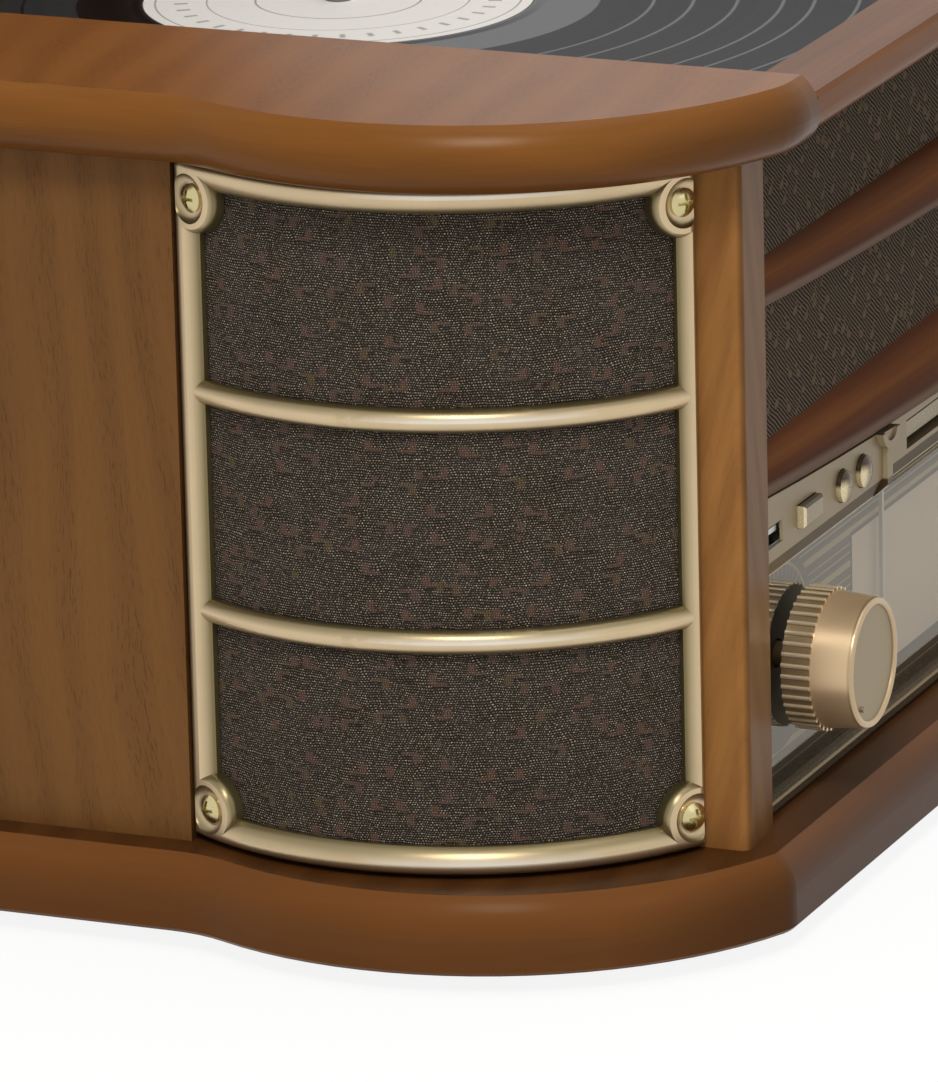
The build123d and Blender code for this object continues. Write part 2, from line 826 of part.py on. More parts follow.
def baffle(side):
    """Flat board behind the cloth with curved ribs at its top and bottom."""
    rim = grille_radius - gap - cloth_skin
    rear, front = curved_ends(side, rim)
    span_x = front[0] - rear[0]
    span_y = front[1] - rear[1]
    inward = baffle_thickness * sqrt(span_x ** 2 + span_y ** 2) / abs(span_y)
    slope = span_x / span_y
    board_end = post_rear + gap
    outer_front = (rear[0] + slope * (board_end - rear[1]), board_end)
    with BuildPart() as board:
        with BuildSketch(Plane.XY.offset(floor_z)):
            with BuildLine():
                Polyline(rear, outer_front, (outer_front[0] - side * inward, board_end),
                         (rear[0] - side * inward, rear[1]), close=True)
            make_face()
        extrude(amount=wall_height)
        for z in (floor_z, ceiling_z - rib_height):
            with BuildSketch(Plane.XY.offset(z)):
                with BuildLine():
                    ThreePointArc(rear, round_point(side, rim, middle_angle), front)
                    Line(front, rear)
                make_face()
            extrude(amount=rib_height)
        with BuildSketch(speaker_plane(side).offset(-2 * baffle_thickness)):
            Circle(basket_radius + gap)
        extrude(amount=3 * baffle_thickness, mode=Mode.SUBTRACT)
        screw_holes(side, screw_radius + running, rim - screw_length, rim + 1)
    return board


def speaker_plane(side):
    """Front face of the baffle at the middle of the speaker, facing outwards."""
    rear, front = curved_ends(side, grille_radius - gap - cloth_skin)
    middle = ((rear[0] + front[0]) / 2, (rear[1] + front[1]) / 2, speaker_z)
    return Plane(origin=middle, z_dir=(side * (rear[1] - front[1]), side * (front[0] - rear[0]), 0))


def speaker(side):
    """Full-range driver: flange, paper cone with dust cap, basket and magnet."""
    face = speaker_plane(side)
    section = Plane(origin=face.origin, x_dir=(0, 0, 1), z_dir=Vector(0, 0, 1).cross(face.z_dir))
    rear_end = -basket_depth - magnet_depth
    surround = speaker_radius - 6
    cap = dome(cap_radius, -cone_depth, cap_rise)
    with BuildPart() as driver:
        with BuildSketch(section):
            with BuildLine():
                Polyline((0, rear_end), (magnet_radius, rear_end), (magnet_radius, -basket_depth),
                         (basket_radius, -basket_rim), (basket_radius, 0),
                         (speaker_radius, 0), (speaker_radius, speaker_flange),
                         (surround, speaker_flange))
                ThreePointArc((surround, speaker_flange), (surround - 3.5, speaker_flange + 2.5),
                              (surround - 7, speaker_flange))
                Line((surround - 7, speaker_flange), cap[0])
                ThreePointArc(*cap)
                Line(cap[2], (0, rear_end))
            make_face()
        revolve(axis=Axis(face.origin, face.z_dir))
    return driver


for name, side in sides.items():
    save(baffle(side), f"baffle_{name}")
    save(speaker(side), f"speaker_{name}")
    save(grille_cloth(side), f"grille_cloth_{name}")
    save(grille_frame(side), f"grille_frame_{name}")

# pan-head cross screws of both grilles
with BuildPart() as grille_screws:
    seat = ridge_radius - dish_depth
    head = dome(screw_head_radius, seat + screw_head_side, screw_head_height - screw_head_side)
    for side in sides.values():
        for angle, z in screw_spots():
            with BuildSketch(spot_section(side, angle, z)):
                with BuildLine():
                    ThreePointArc(*head)
                    Polyline(head[2], (0, seat - screw_length), (screw_radius, seat - screw_length),
                             (screw_radius, seat), (screw_head_radius, seat), head[0])
                make_face()
            direction = (side * cos(radians(angle)), sin(radians(angle)), 0)
            revolve(axis=Axis((side * grille_x, grille_y, z), direction))
            with BuildSketch(spot_plane(side, angle, z).offset(seat + screw_head_side)):
                Rectangle(screw_cross, screw_slot)
                Rectangle(screw_slot, screw_cross)
            extrude(amount=screw_head_height, mode=Mode.SUBTRACT)
save(grille_screws, "grille_screws")


# ------------------------------------------------------------------ control strip
def strip_top(x):
    """Upper edge of the strip: it follows the underside of the lower bar."""
    return along(lower_bar_end[0], lower_bar_middle[0], x) - gap


with BuildPart() as strip:
    with BuildSketch(side_plane(-inner_half)):
        Polygon((strip_back, strip_bottom), (strip_centre_front + strip_bevel, strip_bottom),
                (strip_centre_front, strip_edge), (strip_centre_front, strip_flange_top),
                (strip_back, strip_flange_top), align=None)
    extrude(amount=2 * inner_half)
    for side in sides.values():
        start = rib_x if side > 0 else -inner_half
        with BuildSketch(side_plane(start)):
            Polygon((strip_back, strip_bottom), (strip_front + strip_bevel, strip_bottom),
                    (strip_front, strip_edge), (strip_front, strip_flange_top),
                    (strip_back, strip_flange_top), align=None)
        extrude(amount=inner_half - rib_x)
        with BuildSketch(front_plane(strip_back)):
            with Locations((side * rib_x, (strip_bottom + boss_z) / 2)):
                Rectangle(rib_width, boss_z - strip_bottom)
        extrude(amount=strip_back - strip_front + rib_rise)
        with BuildSketch(front_plane(strip_back)):
            with Locations((side * rib_x, boss_z)):
                Circle(boss_rim_radius)
        extrude(amount=strip_back - strip_front + boss_rise)
        with BuildSketch(front_plane(strip_front - boss_rise + boss_disc_depth)):
            with Locations((side * rib_x, boss_z)):
                Circle(boss_disc_radius)
        extrude(amount=boss_disc_depth, mode=Mode.SUBTRACT)
    # bevel under the ribs
    with BuildSketch(side_plane(-inner_half)):
        Polygon((strip_front + strip_bevel, strip_bottom), (strip_front - boss_rise, strip_edge - 1),
                (strip_front - boss_rise, strip_bottom), align=None)
    extrude(amount=2 * inner_half, mode=Mode.SUBTRACT)
    # everything in front of the cloth board's back ends under the lower bar
    with BuildSketch(front_plane(cloth_back + gap)):
        with BuildLine():
            ThreePointArc((-inner_half - 1, strip_top(inner_half + 1)), (0, strip_top(0)),
                          (inner_half + 1, strip_top(inner_half + 1)))
            Polyline((inner_half + 1, strip_top(inner_half + 1)),
                     (inner_half + 1, strip_flange_top + 1), (-inner_half - 1, strip_flange_top + 1),
                     (-inner_half - 1, strip_top(inner_half + 1)))
        make_face()
    extrude(amount=cloth_back - strip_front + 2 * boss_rise, mode=Mode.SUBTRACT)
    # openings for the buttons, the drawer and the USB socket
    with BuildSketch(front_plane(strip_back)):
        with Locations([(x, round_button_z) for x in round_button_x]):
            Circle(round_button_radius + slip)
        with Locations((power_x, power_z)):
            Rectangle(power_width + 2 * slip, power_height + 2 * slip)
        with Locations((0, drawer_z)):
            Rectangle(2 * recess_half, recess_height)
        with Locations((-usb_outer - usb_width / 2, usb_z)):
            Rectangle(usb_width, usb_height)
    extrude(amount=strip_back - strip_front + boss_rise, mode=Mode.SUBTRACT)
save(strip, "control_strip")

# USB socket: open metal shell with its contact tongue
with BuildPart() as usb:
    with BuildSketch(front_plane(strip_front + clear + usb_depth)):
        with Locations((-usb_outer - usb_width / 2, usb_z)):
            Rectangle(usb_width - 2 * running, usb_height - 2 * running)
    extrude(amount=usb_depth)
    with BuildSketch(front_plane(strip_front + clear + usb_depth - usb_wall)):
        with Locations((-usb_outer - usb_width / 2, usb_z)):
            Rectangle(usb_width - 2 * usb_wall, usb_height - 2 * usb_wall)
    extrude(amount=usb_depth, mode=Mode.SUBTRACT)
    with BuildSketch(front_plane(strip_front + clear + usb_depth - usb_wall)):
        with Locations((-usb_outer - usb_width / 2, usb_z + usb_height / 6)):
            Rectangle(usb_width - 6 * usb_wall, usb_height / 4)
    extrude(amount=usb_depth - 2 * usb_wall)
save(usb, "usb_socket")


def round_button(x):
    """Domed push button with a stem that reaches back to its switch."""
    rim = -(strip_front - round_button_rise)
    top = dome(round_button_radius, rim, round_button_dome)
    with BuildPart() as button:
        with BuildSketch(Plane(origin=(x, 0, round_button_z), x_dir=(1, 0, 0), z_dir=(0, 0, -1))):
            with BuildLine():
                ThreePointArc(*top)
                Polyline(top[2], (0, -button_rear), (round_button_radius, -button_rear), top[0])
            make_face()
        revolve(axis=Axis((x, 0, round_button_z), (0, 1, 0)))
    return button


round_names = ("record_button", "function_button", "play_button", "stop_button",
               "skip_back_button", "skip_forward_button")
for name, x in zip(round_names, round_button_x):
    save(round_button(x), name)

with BuildPart() as power:
    with BuildSketch(front_plane(button_rear)):
        with Locations((power_x, power_z)):
            Rectangle(power_width, power_height)
    extrude(amount=button_rear - strip_front + power_rise)
    chamfer(power.faces().sort_by(Axis.Y)[0].edges(), length=0.6)
save(power, "power_button")

# ------------------------------------------------------------------ compact disc drawer
drawer_front = strip_centre_front + drawer_inset
drawer_rear = drawer_front + drawer_length
with BuildPart() as drawer:
    block((-drawer_half, drawer_half), (drawer_front, drawer_rear),
          (drawer_z - drawer_height / 2, drawer_z + drawer_height / 2))
    edges = drawer.faces().sort_by(Axis.Y)[0].edges()
    chamfer(edges, length=0.8)
    disc_y = drawer_front + drawer_length / 2
    for radius, depth in ((disc_radius, disc_well_depth), (small_disc_radius, 2 * disc_well_depth)):
        with BuildSketch(Plane.XY.offset(drawer_z + drawer_height / 2)):
            with Locations((0, disc_y)):
                Circle(radius)
        extrude(amount=-depth, mode=Mode.SUBTRACT)
    with BuildSketch(Plane.XY.offset(drawer_z - drawer_height / 2)):
        with Locations((0, disc_y)):
            SlotCenterToCenter(disc_radius, drawer_slot, rotation=90)
    extrude(amount=drawer_height, mode=Mode.SUBTRACT)
save(drawer, "cd_tray")

# loader: box on four legs, open at the front for the drawer
with BuildPart() as loader:
    loader_front = strip_back + gap
    block((-loader_half, loader_half), (loader_front, loader_rear), (loader_bottom, loader_top))
    block((-drawer_half - slip, drawer_half + slip), (loader_front, loader_rear - loader_wall),
          (drawer_z - drawer_height / 2 - slip, drawer_z + drawer_height / 2 + slip),
          mode=Mode.SUBTRACT)
    for y in (loader_front + 2.5 * leg_size, loader_rear - leg_size):
        for x in (-loader_half + leg_size, loader_half - leg_size):
            block((x - leg_size / 2, x + leg_size / 2), (y - leg_size / 2, y + leg_size / 2),
                  (floor_z, loader_bottom))
save(loader, "cd_loader")

# ------------------------------------------------------------------ radio dial
with BuildPart() as trim:
    with BuildSketch(side_plane(-inner_half)):
        Polygon((trim_front + trim_drop, floor_z), (plate_front + plate_thickness, floor_z),
                (plate_front + plate_thickness, dial_bottom), (trim_front + 0.5, dial_bottom),
                (trim_front, dial_bottom - 0.5), (trim_front, trim_bottom),
                (trim_front + trim_drop, trim_bottom), align=None)
    extrude(amount=2 * inner_half)
save(trim, "dial_trim")

with BuildPart() as window:
    block((-inner_half, inner_half), (window_front, window_front + window_thickness),
          (dial_bottom, strip_bottom - gap))
    with BuildSketch(front_plane(window_front + window_thickness)):
        with Locations((-knob_x, knob_z), (knob_x, knob_z)):
            Circle(shaft_radius + clear)
    extrude(amount=window_thickness, mode=Mode.SUBTRACT)
save(window, "dial_window")

with BuildPart() as plate:
    block((-inner_half, inner_half), (plate_front, plate_front + plate_thickness),
          (dial_bottom, plate_top))
    with BuildSketch(front_plane(plate_front + plate_thickness)):
        with Locations((-knob_x, knob_z), (knob_x, knob_z)):
            Circle(shaft_radius + clear)
    extrude(amount=plate_thickness, mode=Mode.SUBTRACT)
save(plate, "dial_plate")

# pointer that hangs over the top of the dial plate
with BuildPart() as pointer:
    hook = pointer_thickness
    carrier_front = plate_front + plate_thickness + 2 * gap
    block((-pointer_travel - pointer_width / 2, -pointer_travel + pointer_width / 2),
          (pointer_front, pointer_front + pointer_thickness), (pointer_bottom, plate_top + gap + hook))
    carrier = (-pointer_travel - carrier_width / 2, -pointer_travel + carrier_width / 2)
    carrier_rear = carrier_front + carrier_thickness
    block(carrier, (pointer_front, carrier_rear), (plate_top + gap, plate_top + gap + hook))
    block(carrier, (carrier_front, carrier_rear), (plate_top - carrier_drop, plate_top + gap + hook))
save(pointer, "dial_pointer")


def knob(side):
    """Slightly tapered knob with raised rim, recessed face, gripping ribs and shaft."""
    face = knob_length
    shaft_end = -(control_bottom(side) - running * 4 - knob_back)
    with BuildPart() as body:
        with BuildSketch(Plane(origin=(side * knob_x, knob_back, knob_z), x_dir=(1, 0, 0),
                               z_dir=(0, 0, -1))):
            with BuildLine():
                rim = Polyline((0, shaft_end), (shaft_radius, shaft_end), (shaft_radius, 0),
                               (knob_skirt_radius, 0), (knob_skirt_radius - 0.2, knob_rib_length),
                               (knob_face_radius, face - knob_rim / 2))
                ThreePointArc(rim @ 1, (knob_face_radius - knob_rim / 2, face),
                              (knob_face_radius - knob_rim, face - knob_recess))
                Polyline((knob_face_radius - knob_rim, face - knob_recess),
                         (0, face - knob_recess), (0, shaft_end))
            make_face()
        axis = Axis((side * knob_x, 0, knob_z), (0, 1, 0))
        revolve(axis=axis)
        with BuildSketch(front_plane(knob_back)):
            with Locations((side * knob_x, knob_z)):
                with PolarLocations(knob_skirt_radius, knob_rib_count):
                    Circle(knob_rib_radius)
        extrude(amount=knob_rib_length)
        with BuildSketch(front_plane(knob_back - face + knob_recess)):
            with Locations((side * knob_x + marker_distance * cos(radians(marker_angle)),
                            knob_z + marker_distance * sin(radians(marker_angle)))):
                Circle(marker_radius)
        extrude(amount=knob_recess)
    return body


def control_bottom(side):
    """Depth at which the shaft's bore ends inside the control."""
    return plate_front + plate_thickness + control_depth - 2


def control(side):
    """Rotary control on the back of the dial plate, with the bore for the knob's shaft."""
    start = plate_front + plate_thickness
    with BuildPart() as body:
        with BuildSketch(front_plane(start + control_depth)):
            with Locations((side * knob_x, knob_z)):
                if side < 0:
                    Circle(control_radius)
                else:
                    Rectangle(2 * control_radius, 2 * control_radius)
        extrude(amount=control_depth)
        with BuildSketch(front_plane(control_bottom(side))):
            with Locations((side * knob_x, knob_z)):
                Circle(shaft_radius + running)
        extrude(amount=control_depth, mode=Mode.SUBTRACT)
    return body


save(knob(-1), "volume_knob")
save(knob(1), "tuning_knob")
save(control(-1), "volume_control")
save(control(1), "tuning_control")

# ------------------------------------------------------------------ electronics
# main board with transformer and heat sink, and the two boards behind the buttons
with BuildPart() as boards:
    board_top = floor_z + board_lift + board_thickness
    with Locations((0, board_y, board_top - board_thickness / 2)):
        Box(board_width, board_depth, board_thickness)
    with Locations((0, board_y, floor_z + board_lift / 2)):
        with GridLocations(board_width - 2 * stand_inset, board_depth - 2 * stand_inset, 2, 2):
            Cylinder(stand_radius, board_lift)
    for spot, size in ((transformer_spot, transformer_size), (sink_spot, sink_size)):
        with Locations((*spot, board_top + size[2] / 2)):
            Box(*size)
    for side in sides.values():
        block((side * (loader_half + leg_size / 2), side * inner_half),
              (button_board_front, button_board_front + board_thickness),
              (strip_edge, strip_flange_top - leg_size / 2))
save(boards, "circuit_boards")

# rear sockets on a plate behind the opening of the back panel
with BuildPart() as sockets:
    plate_rear = rear_y - back_thickness
    block((-socket_half, socket_half), (plate_rear - socket_plate, plate_rear),
          (socket_z - socket_height / 2, socket_z + socket_height / 2))
    mouth = plate_rear + inlet_rise
    with Locations((inlet_x, mouth - inlet_depth / 2, socket_z)):
        Box(inlet_width, inlet_depth, inlet_height)
    with BuildSketch(front_plane(mouth)):
        with Locations((inlet_x, socket_z)):
            SlotOverall(inlet_width - 2 * inlet_wall, inlet_height - 2 * inlet_rise)
    extrude(amount=inlet_depth - inlet_wall, mode=Mode.SUBTRACT)
    for side in sides.values():
        pin_x = inlet_x + side * inlet_pin_spread / 2
        with Locations((pin_x, mouth - inlet_depth + inlet_pin_length / 2, socket_z)):
            Cylinder(inlet_pin_radius, inlet_pin_length, rotation=(90, 0, 0))
    with BuildSketch(front_plane(plate_rear + phono_rise)):
        with Locations(*((x, socket_z) for x in phono_x)):
            Circle(phono_radius)
    extrude(amount=phono_length)
    with BuildSketch(front_plane(plate_rear + phono_rise)):
        with Locations(*((x, socket_z) for x in phono_x)):
            Circle(phono_radius - phono_wall)
            Circle(phono_radius - phono_wall - phono_groove, mode=Mode.SUBTRACT)
    extrude(amount=phono_depth, mode=Mode.SUBTRACT)
save(sockets, "rear_socket_panel")

# ------------------------------------------------------------------ record player
centre = (turntable_x, turntable_y)

# deck plate with holes for the bearing and the switch
with BuildPart() as deck:
    block((-inner_half, inner_half), (cloth_back, well_rear), (deck_bottom, deck_top))
    with BuildSketch(Plane.XY.offset(deck_bottom)):
        with Locations(centre):
            Circle(hub_radius)
        with Locations((switch_x, switch_y)):
            slot = switch_stem + 2 * switch_play
            Rectangle(slot, slot + switch_travel)
    extrude(amount=deck_thickness, mode=Mode.SUBTRACT)
save(deck, "deck_plate")

# motor with the platter's bearing
motor_bottom = deck_bottom - motor_height
bore_bottom = motor_bottom + 4
with BuildPart() as motor:
    with BuildSketch(Plane.XY.offset(motor_bottom)):
        with Locations(centre):
            Circle(motor_radius)
    extrude(amount=motor_height)
    with BuildSketch(Plane.XY.offset(bore_bottom)):
        with Locations(centre):
            Circle(spindle_radius + running)
    extrude(amount=motor_height, mode=Mode.SUBTRACT)
save(motor, "platter_motor")

# platter with its rim, hub and spindle
with BuildPart() as platter:
    spindle_top = dome(spindle_radius, record_top + spindle_rise - 2, 2)
    with BuildSketch(Plane(origin=(*centre, 0), x_dir=(1, 0, 0), z_dir=(0, -1, 0))):
        with BuildLine():
            ThreePointArc(*spindle_top)
            Polyline(spindle_top[2], (0, bore_bottom + running),
                     (spindle_radius, bore_bottom + running), (spindle_radius, platter_bottom),
                     (hub_radius, platter_bottom), (hub_radius, platter_top - platter_web),
                     (platter_radius - 7, platter_top - platter_web),
                     (platter_radius - 7, platter_bottom), (platter_radius - 2, platter_bottom),
                     (platter_radius, platter_bottom + 2), (platter_radius, platter_top - 1),
                     (platter_radius - 1, platter_top), (spindle_radius, platter_top),
                     spindle_top[0])
        make_face()
    revolve(axis=Axis((*centre, 0), (0, 0, 1)))
save(platter, "platter")

with BuildPart() as mat:
    with BuildSketch(Plane.XY.offset(platter_top)):
        with Locations(centre):
            Circle(mat_radius)
            Circle(spindle_radius + running, mode=Mode.SUBTRACT)
    extrude(amount=mat_thickness)
save(mat, "slip_mat")

# record: raised label area and rim around the grooved face
with BuildPart() as record:
    hole = spindle_radius + running
    groove_top = record_top - record_groove_drop
    with BuildSketch(Plane(origin=(*centre, 0), x_dir=(1, 0, 0), z_dir=(0, -1, 0))):
        with BuildLine():
            Polyline((hole, mat_top), (record_radius - 0.8, mat_top),
                     (record_radius, mat_top + record_thickness / 2),
                     (record_radius - 0.8, record_top), (record_radius - 4, record_top),
                     (record_radius - 6, groove_top), (label_radius + 3, groove_top),
                     (label_radius + 1, record_top), (hole, record_top), close=True)
        make_face()
    revolve(axis=Axis((*centre, 0), (0, 0, 1)))
save(record, "record")

# ------------------------------------------------------------------ tonearm
arm_spot = (arm_x, arm_y)
yoke_bottom = deck_top + arm_base_height + pillar_height
cheek_top = arm_z + tube_radius

# base with the pillar, the arm rest and the cueing lever's bracket
with BuildPart() as arm_base:
    with BuildSketch(Plane.XY.offset(deck_top)):
        with Locations(arm_spot):
            Circle(arm_base_radius)
    extrude(amount=arm_base_height)
    with BuildSketch(Plane.XY.offset(deck_top)):
        with Locations(arm_spot):
            Circle(pillar_radius)
    extrude(amount=yoke_bottom - deck_top)
    with BuildSketch(Plane.XY.offset(yoke_bottom - shaft_depth)):
        with Locations(arm_spot):
            Circle(shaft_radius + running)
    extrude(amount=shaft_depth, mode=Mode.SUBTRACT)
    # arm rest: a post with a flat seat and a taller post beside it
    seat_z = arm_z - tube_radius - 2 * running
    rest_span = (rest_y - rest_depth / 2, rest_y + rest_depth / 2)
    block((arm_x - tube_radius, arm_x + tube_radius), rest_span, (deck_top, seat_z))
    block((arm_x + tube_radius + gap, arm_x + tube_radius + gap + rest_lip), rest_span,
          (deck_top, arm_z + tube_radius))
    # bracket for the cueing lever
    for side in sides.values():
        block((lever_x + side * lever_gap, lever_x + side * (lever_gap + lever_cheek)),
              (lever_y - lever_gap, lever_y + lever_gap), (deck_top, lever_z + lever_gap))
    with Locations((lever_x, lever_y, lever_z)):
        Cylinder(pivot_radius + running, 4 * lever_gap, rotation=(0, 90, 0), mode=Mode.SUBTRACT)
save(arm_base, "tonearm_base")

# yoke turns on the pillar and holds the arm between two cheeks
with BuildPart() as yoke:
    with BuildSketch(Plane.XY.offset(yoke_bottom - shaft_depth + gap)):
        with Locations(arm_spot):
            Circle(shaft_radius)
    extrude(amount=shaft_depth)
    with BuildSketch(Plane.XY.offset(yoke_bottom)):
        with Locations(arm_spot):
            Circle(yoke_gap / 2 + yoke_cheek)
    extrude(amount=yoke_cheek)
    for side in sides.values():
        block((arm_x + side * yoke_gap / 2, arm_x + side * (yoke_gap / 2 + yoke_cheek)),
              (arm_y - 2 * yoke_cheek, arm_y + 2 * yoke_cheek),
              (yoke_bottom + yoke_cheek / 2, cheek_top))
    with Locations((arm_x, arm_y, arm_z)):
        Cylinder(pivot_radius + running, 2 * yoke_gap, rotation=(0, 90, 0), mode=Mode.SUBTRACT)
save(yoke, "tonearm_yoke")

# arm: tube, pivot block with pins and counterweight, and the headshell that plugs on in front
head_y = arm_y - arm_length
with BuildPart() as arm:
    shell_rear = head_y - shell_front + shell_length
    tube_front = shell_rear + running
    tube_rear = arm_y + weight_offset
    with Locations((arm_x, (tube_front + tube_rear) / 2, arm_z)):
        Cylinder(tube_radius, tube_rear - tube_front, rotation=(90, 0, 0))
    with Locations((arm_x, arm_y, arm_z)):
        Box(*pivot_block)
        Cylinder(pivot_radius, yoke_gap + 2 * yoke_cheek - 1, rotation=(0, 90, 0))
    with Locations((arm_x, tube_rear + counterweight_length / 2, arm_z)):
        Cylinder(counterweight_radius, counterweight_length, rotation=(90, 0, 0))
    with BuildSketch(Plane.XY.offset(arm_z - shell_thickness)):
        with Locations((arm_x, head_y - shell_front + shell_length / 2)):
            RectangleRounded(shell_width, shell_length, shell_round)
    extrude(amount=shell_thickness)
    with Locations((arm_x, shell_rear - shell_collar / 2, arm_z)):
        Cylinder(tube_radius, shell_collar, rotation=(90, 0, 0))
    finger_x = arm_x + shell_width / 2 - finger_width / 4
    block((finger_x, finger_x + finger_length), (head_y - 1.5 * finger_width, head_y - finger_width / 2),
          (arm_z - shell_thickness, arm_z - shell_thickness / 2))
save(arm, "tonearm")

# cartridge under the headshell, with its stylus
with BuildPart() as cartridge:
    stylus_z = record_top + gap
    block_bottom = stylus_z + stylus_height
    block((arm_x - cartridge_width / 2, arm_x + cartridge_width / 2),
          (head_y - stylus_width, head_y - stylus_width + cartridge_length),
          (block_bottom, arm_z - shell_thickness))
    with BuildSketch(side_plane(arm_x - stylus_width / 2)):
        Polygon((head_y - stylus_width / 2, block_bottom), (head_y + 3 * stylus_width, block_bottom),
                (head_y + stylus_width / 2, stylus_z), (head_y, stylus_z), align=None)
    extrude(amount=stylus_width)
save(cartridge, "cartridge")

# cueing lever
with BuildPart() as lever:
    with Locations((lever_x, lever_y, lever_z)):
        Cylinder(pivot_radius, 2 * (lever_gap + lever_cheek - gap), rotation=(0, 90, 0))
        Cylinder(lever_hub, 2 * (lever_gap - gap), rotation=(0, 90, 0))
    with Locations((lever_x, lever_y - lever_reach / 2, lever_z)):
        Box(lever_bar, lever_reach, lever_bar)
    with Locations((lever_x, lever_y - lever_reach - lever_pad[1] / 4, lever_z)):
        Box(*lever_pad, lever_bar)
save(lever, "lift_lever")

# speed switch: knob on the deck, stem through the slot, keeper below
with BuildPart() as speed:
    start = switch_y + switch_travel / 2
    half = switch_size / 2
    across = (switch_x - half, switch_x + half)
    keeper = (deck_bottom - deck_thickness, deck_bottom - gap)
    block(across, (start - half, start + half), (deck_top + gap, deck_top + switch_height))
    for step in (-1, 0, 1):
        ridge_y = start + step * switch_pitch
        block(across, (ridge_y - switch_ridge / 2, ridge_y + switch_ridge / 2),
              (deck_top + switch_height, deck_top + switch_height + switch_ridge))
    block((switch_x - switch_stem / 2, switch_x + switch_stem / 2),
          (start - switch_stem / 2, start + switch_stem / 2), (keeper[0], deck_top + 2 * gap))
    block(across, (start - half, start + half), keeper)
save(speed, "speed_switch")

# ------------------------------------------------------------------ lid and hinges
# Everything on the lid is drawn in the lid's own plane: X along the hinge axis, Y backwards
# along the shut lid, Z upwards from the hinge axis; the plane is turned to the open position.
turn = radians(lid_angle)
shut = Plane(origin=(0, hinge_y, hinge_z), x_dir=(1, 0, 0), z_dir=(0, sin(turn), cos(turn)))
lid_bottom = top_z + lid_clear - hinge_z


def lid_section(x):
    """Section plane across the lid: local X runs backwards, local Y upwards."""
    return Plane(origin=shut.from_local_coords((x, 0, 0)), x_dir=shut.y_dir, z_dir=shut.x_dir)


with BuildPart() as lid:
    front = lid_front - hinge_y
    rear = lid_rear - hinge_y
    with BuildSketch(shut.offset(lid_bottom)):
        with Locations((0, (front + rear) / 2)):
            RectangleRounded(2 * lid_half, rear - front, 3)
    extrude(amount=lid_thickness)
    with BuildSketch(shut.offset(lid_bottom)):
        with Locations((0, (front + rear) / 2)):
            Rectangle(2 * (lid_half - lid_skin), rear - front - 2 * lid_skin)
    extrude(amount=lid_thickness - lid_skin, mode=Mode.SUBTRACT)
    top_face = lid.faces().sort_by(Axis(shut.origin, shut.z_dir))[-1]
    fillet(top_face.edges(), radius=lid_round)
save(lid, "lid")

with BuildPart() as fixed_leaves:
    for side in sides.values():
        x = side * hinge_x
        block((x - hinge_width / 2, x + hinge_width / 2), (hinge_y + knuckle_radius + 0.6, rear_y - 1),
              (rail_top, rail_top + leaf))
        block((x - hinge_middle / 2, x + hinge_middle / 2), (hinge_y - 1, hinge_y + 4),
              (rail_top, rail_top + leaf))
        with Locations((x, hinge_y, hinge_z)):
            Cylinder(knuckle_radius, hinge_middle, rotation=(0, 90, 0))
            Cylinder(pin_radius, hinge_width, rotation=(0, 90, 0))
save(fixed_leaves, "hinge_fixed_leaves")

with BuildPart() as lid_leaves:
    rear = lid_rear - hinge_y
    for side in sides.values():
        with BuildSketch(lid_section(side * hinge_x - hinge_width / 2)):
            Circle(knuckle_radius)
            Polygon((rear, knuckle_radius - leaf), (0, knuckle_radius - leaf), (0, knuckle_radius),
                    (rear, knuckle_radius), align=None)
            Polygon((rear, knuckle_radius - leaf), (rear + leaf, knuckle_radius - leaf),
                    (rear + leaf, lid_thickness - 5), (rear, lid_thickness - 5), align=None)
        extrude(amount=hinge_width)
        with BuildSketch(lid_section(side * hinge_x - hinge_width / 2)):
            Circle(pin_radius + running)
        extrude(amount=hinge_width, mode=Mode.SUBTRACT)
        with BuildSketch(lid_section(side * hinge_x - hinge_middle / 2 - gap)):
            with Locations((-0.5, 0)):
                Rectangle(2 * knuckle_radius + 2.4, 2 * knuckle_radius + 0.01)
        extrude(amount=hinge_middle + 2 * gap, mode=Mode.SUBTRACT)
save(lid_leaves, "hinge_lid_leaves")
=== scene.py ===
"""Stereo music centre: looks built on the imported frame. Metres, +X right, +Y back, +Z up."""

from math import cos, pi, radians, sin

import bpy
from mathutils import Matrix, Vector


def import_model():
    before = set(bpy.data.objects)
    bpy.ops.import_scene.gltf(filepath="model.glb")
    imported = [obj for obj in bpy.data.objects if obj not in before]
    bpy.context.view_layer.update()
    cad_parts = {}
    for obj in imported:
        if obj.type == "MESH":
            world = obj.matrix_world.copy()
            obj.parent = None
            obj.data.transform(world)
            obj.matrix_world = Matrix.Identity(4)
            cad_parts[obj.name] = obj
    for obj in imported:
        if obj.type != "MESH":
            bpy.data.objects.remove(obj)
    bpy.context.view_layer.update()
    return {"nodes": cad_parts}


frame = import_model()
nodes = frame["nodes"]
MM = 0.001

# ------------------------------------------------------------------ shared places (millimetres)
RECORD = (-25.0, 5.5)           # centre of the record
KNOB = (146.3, 57.6)            # knobs: distance from the middle, and height
KNOB_FACE_RADIUS = 14.0         # inset cap
KNOB_FRONT = 183.2              # forward of this lie rim and cap
KNOB_SKIRT_END = 174.0          # behind this lie the ribs
KNOB_CREST_RADIUS = 17.05       # beyond this lie the crests of the ribs
GRILLE = (160.4, -87.3)         # centre of the speaker corner's curve
GRILLE_RADIUS = 79.1
TOP_OF_BOARDS = 209.9           # flat top of the top boards; below it lies the nose
TOP_OF_BASE = 23.9
STRIP_BEVEL = (88.3, 88.8)      # the strip's bevel, painted in shade, starts between these heights
STRIP_EDGE = (83.7, 83.9)       # bright line at its foot

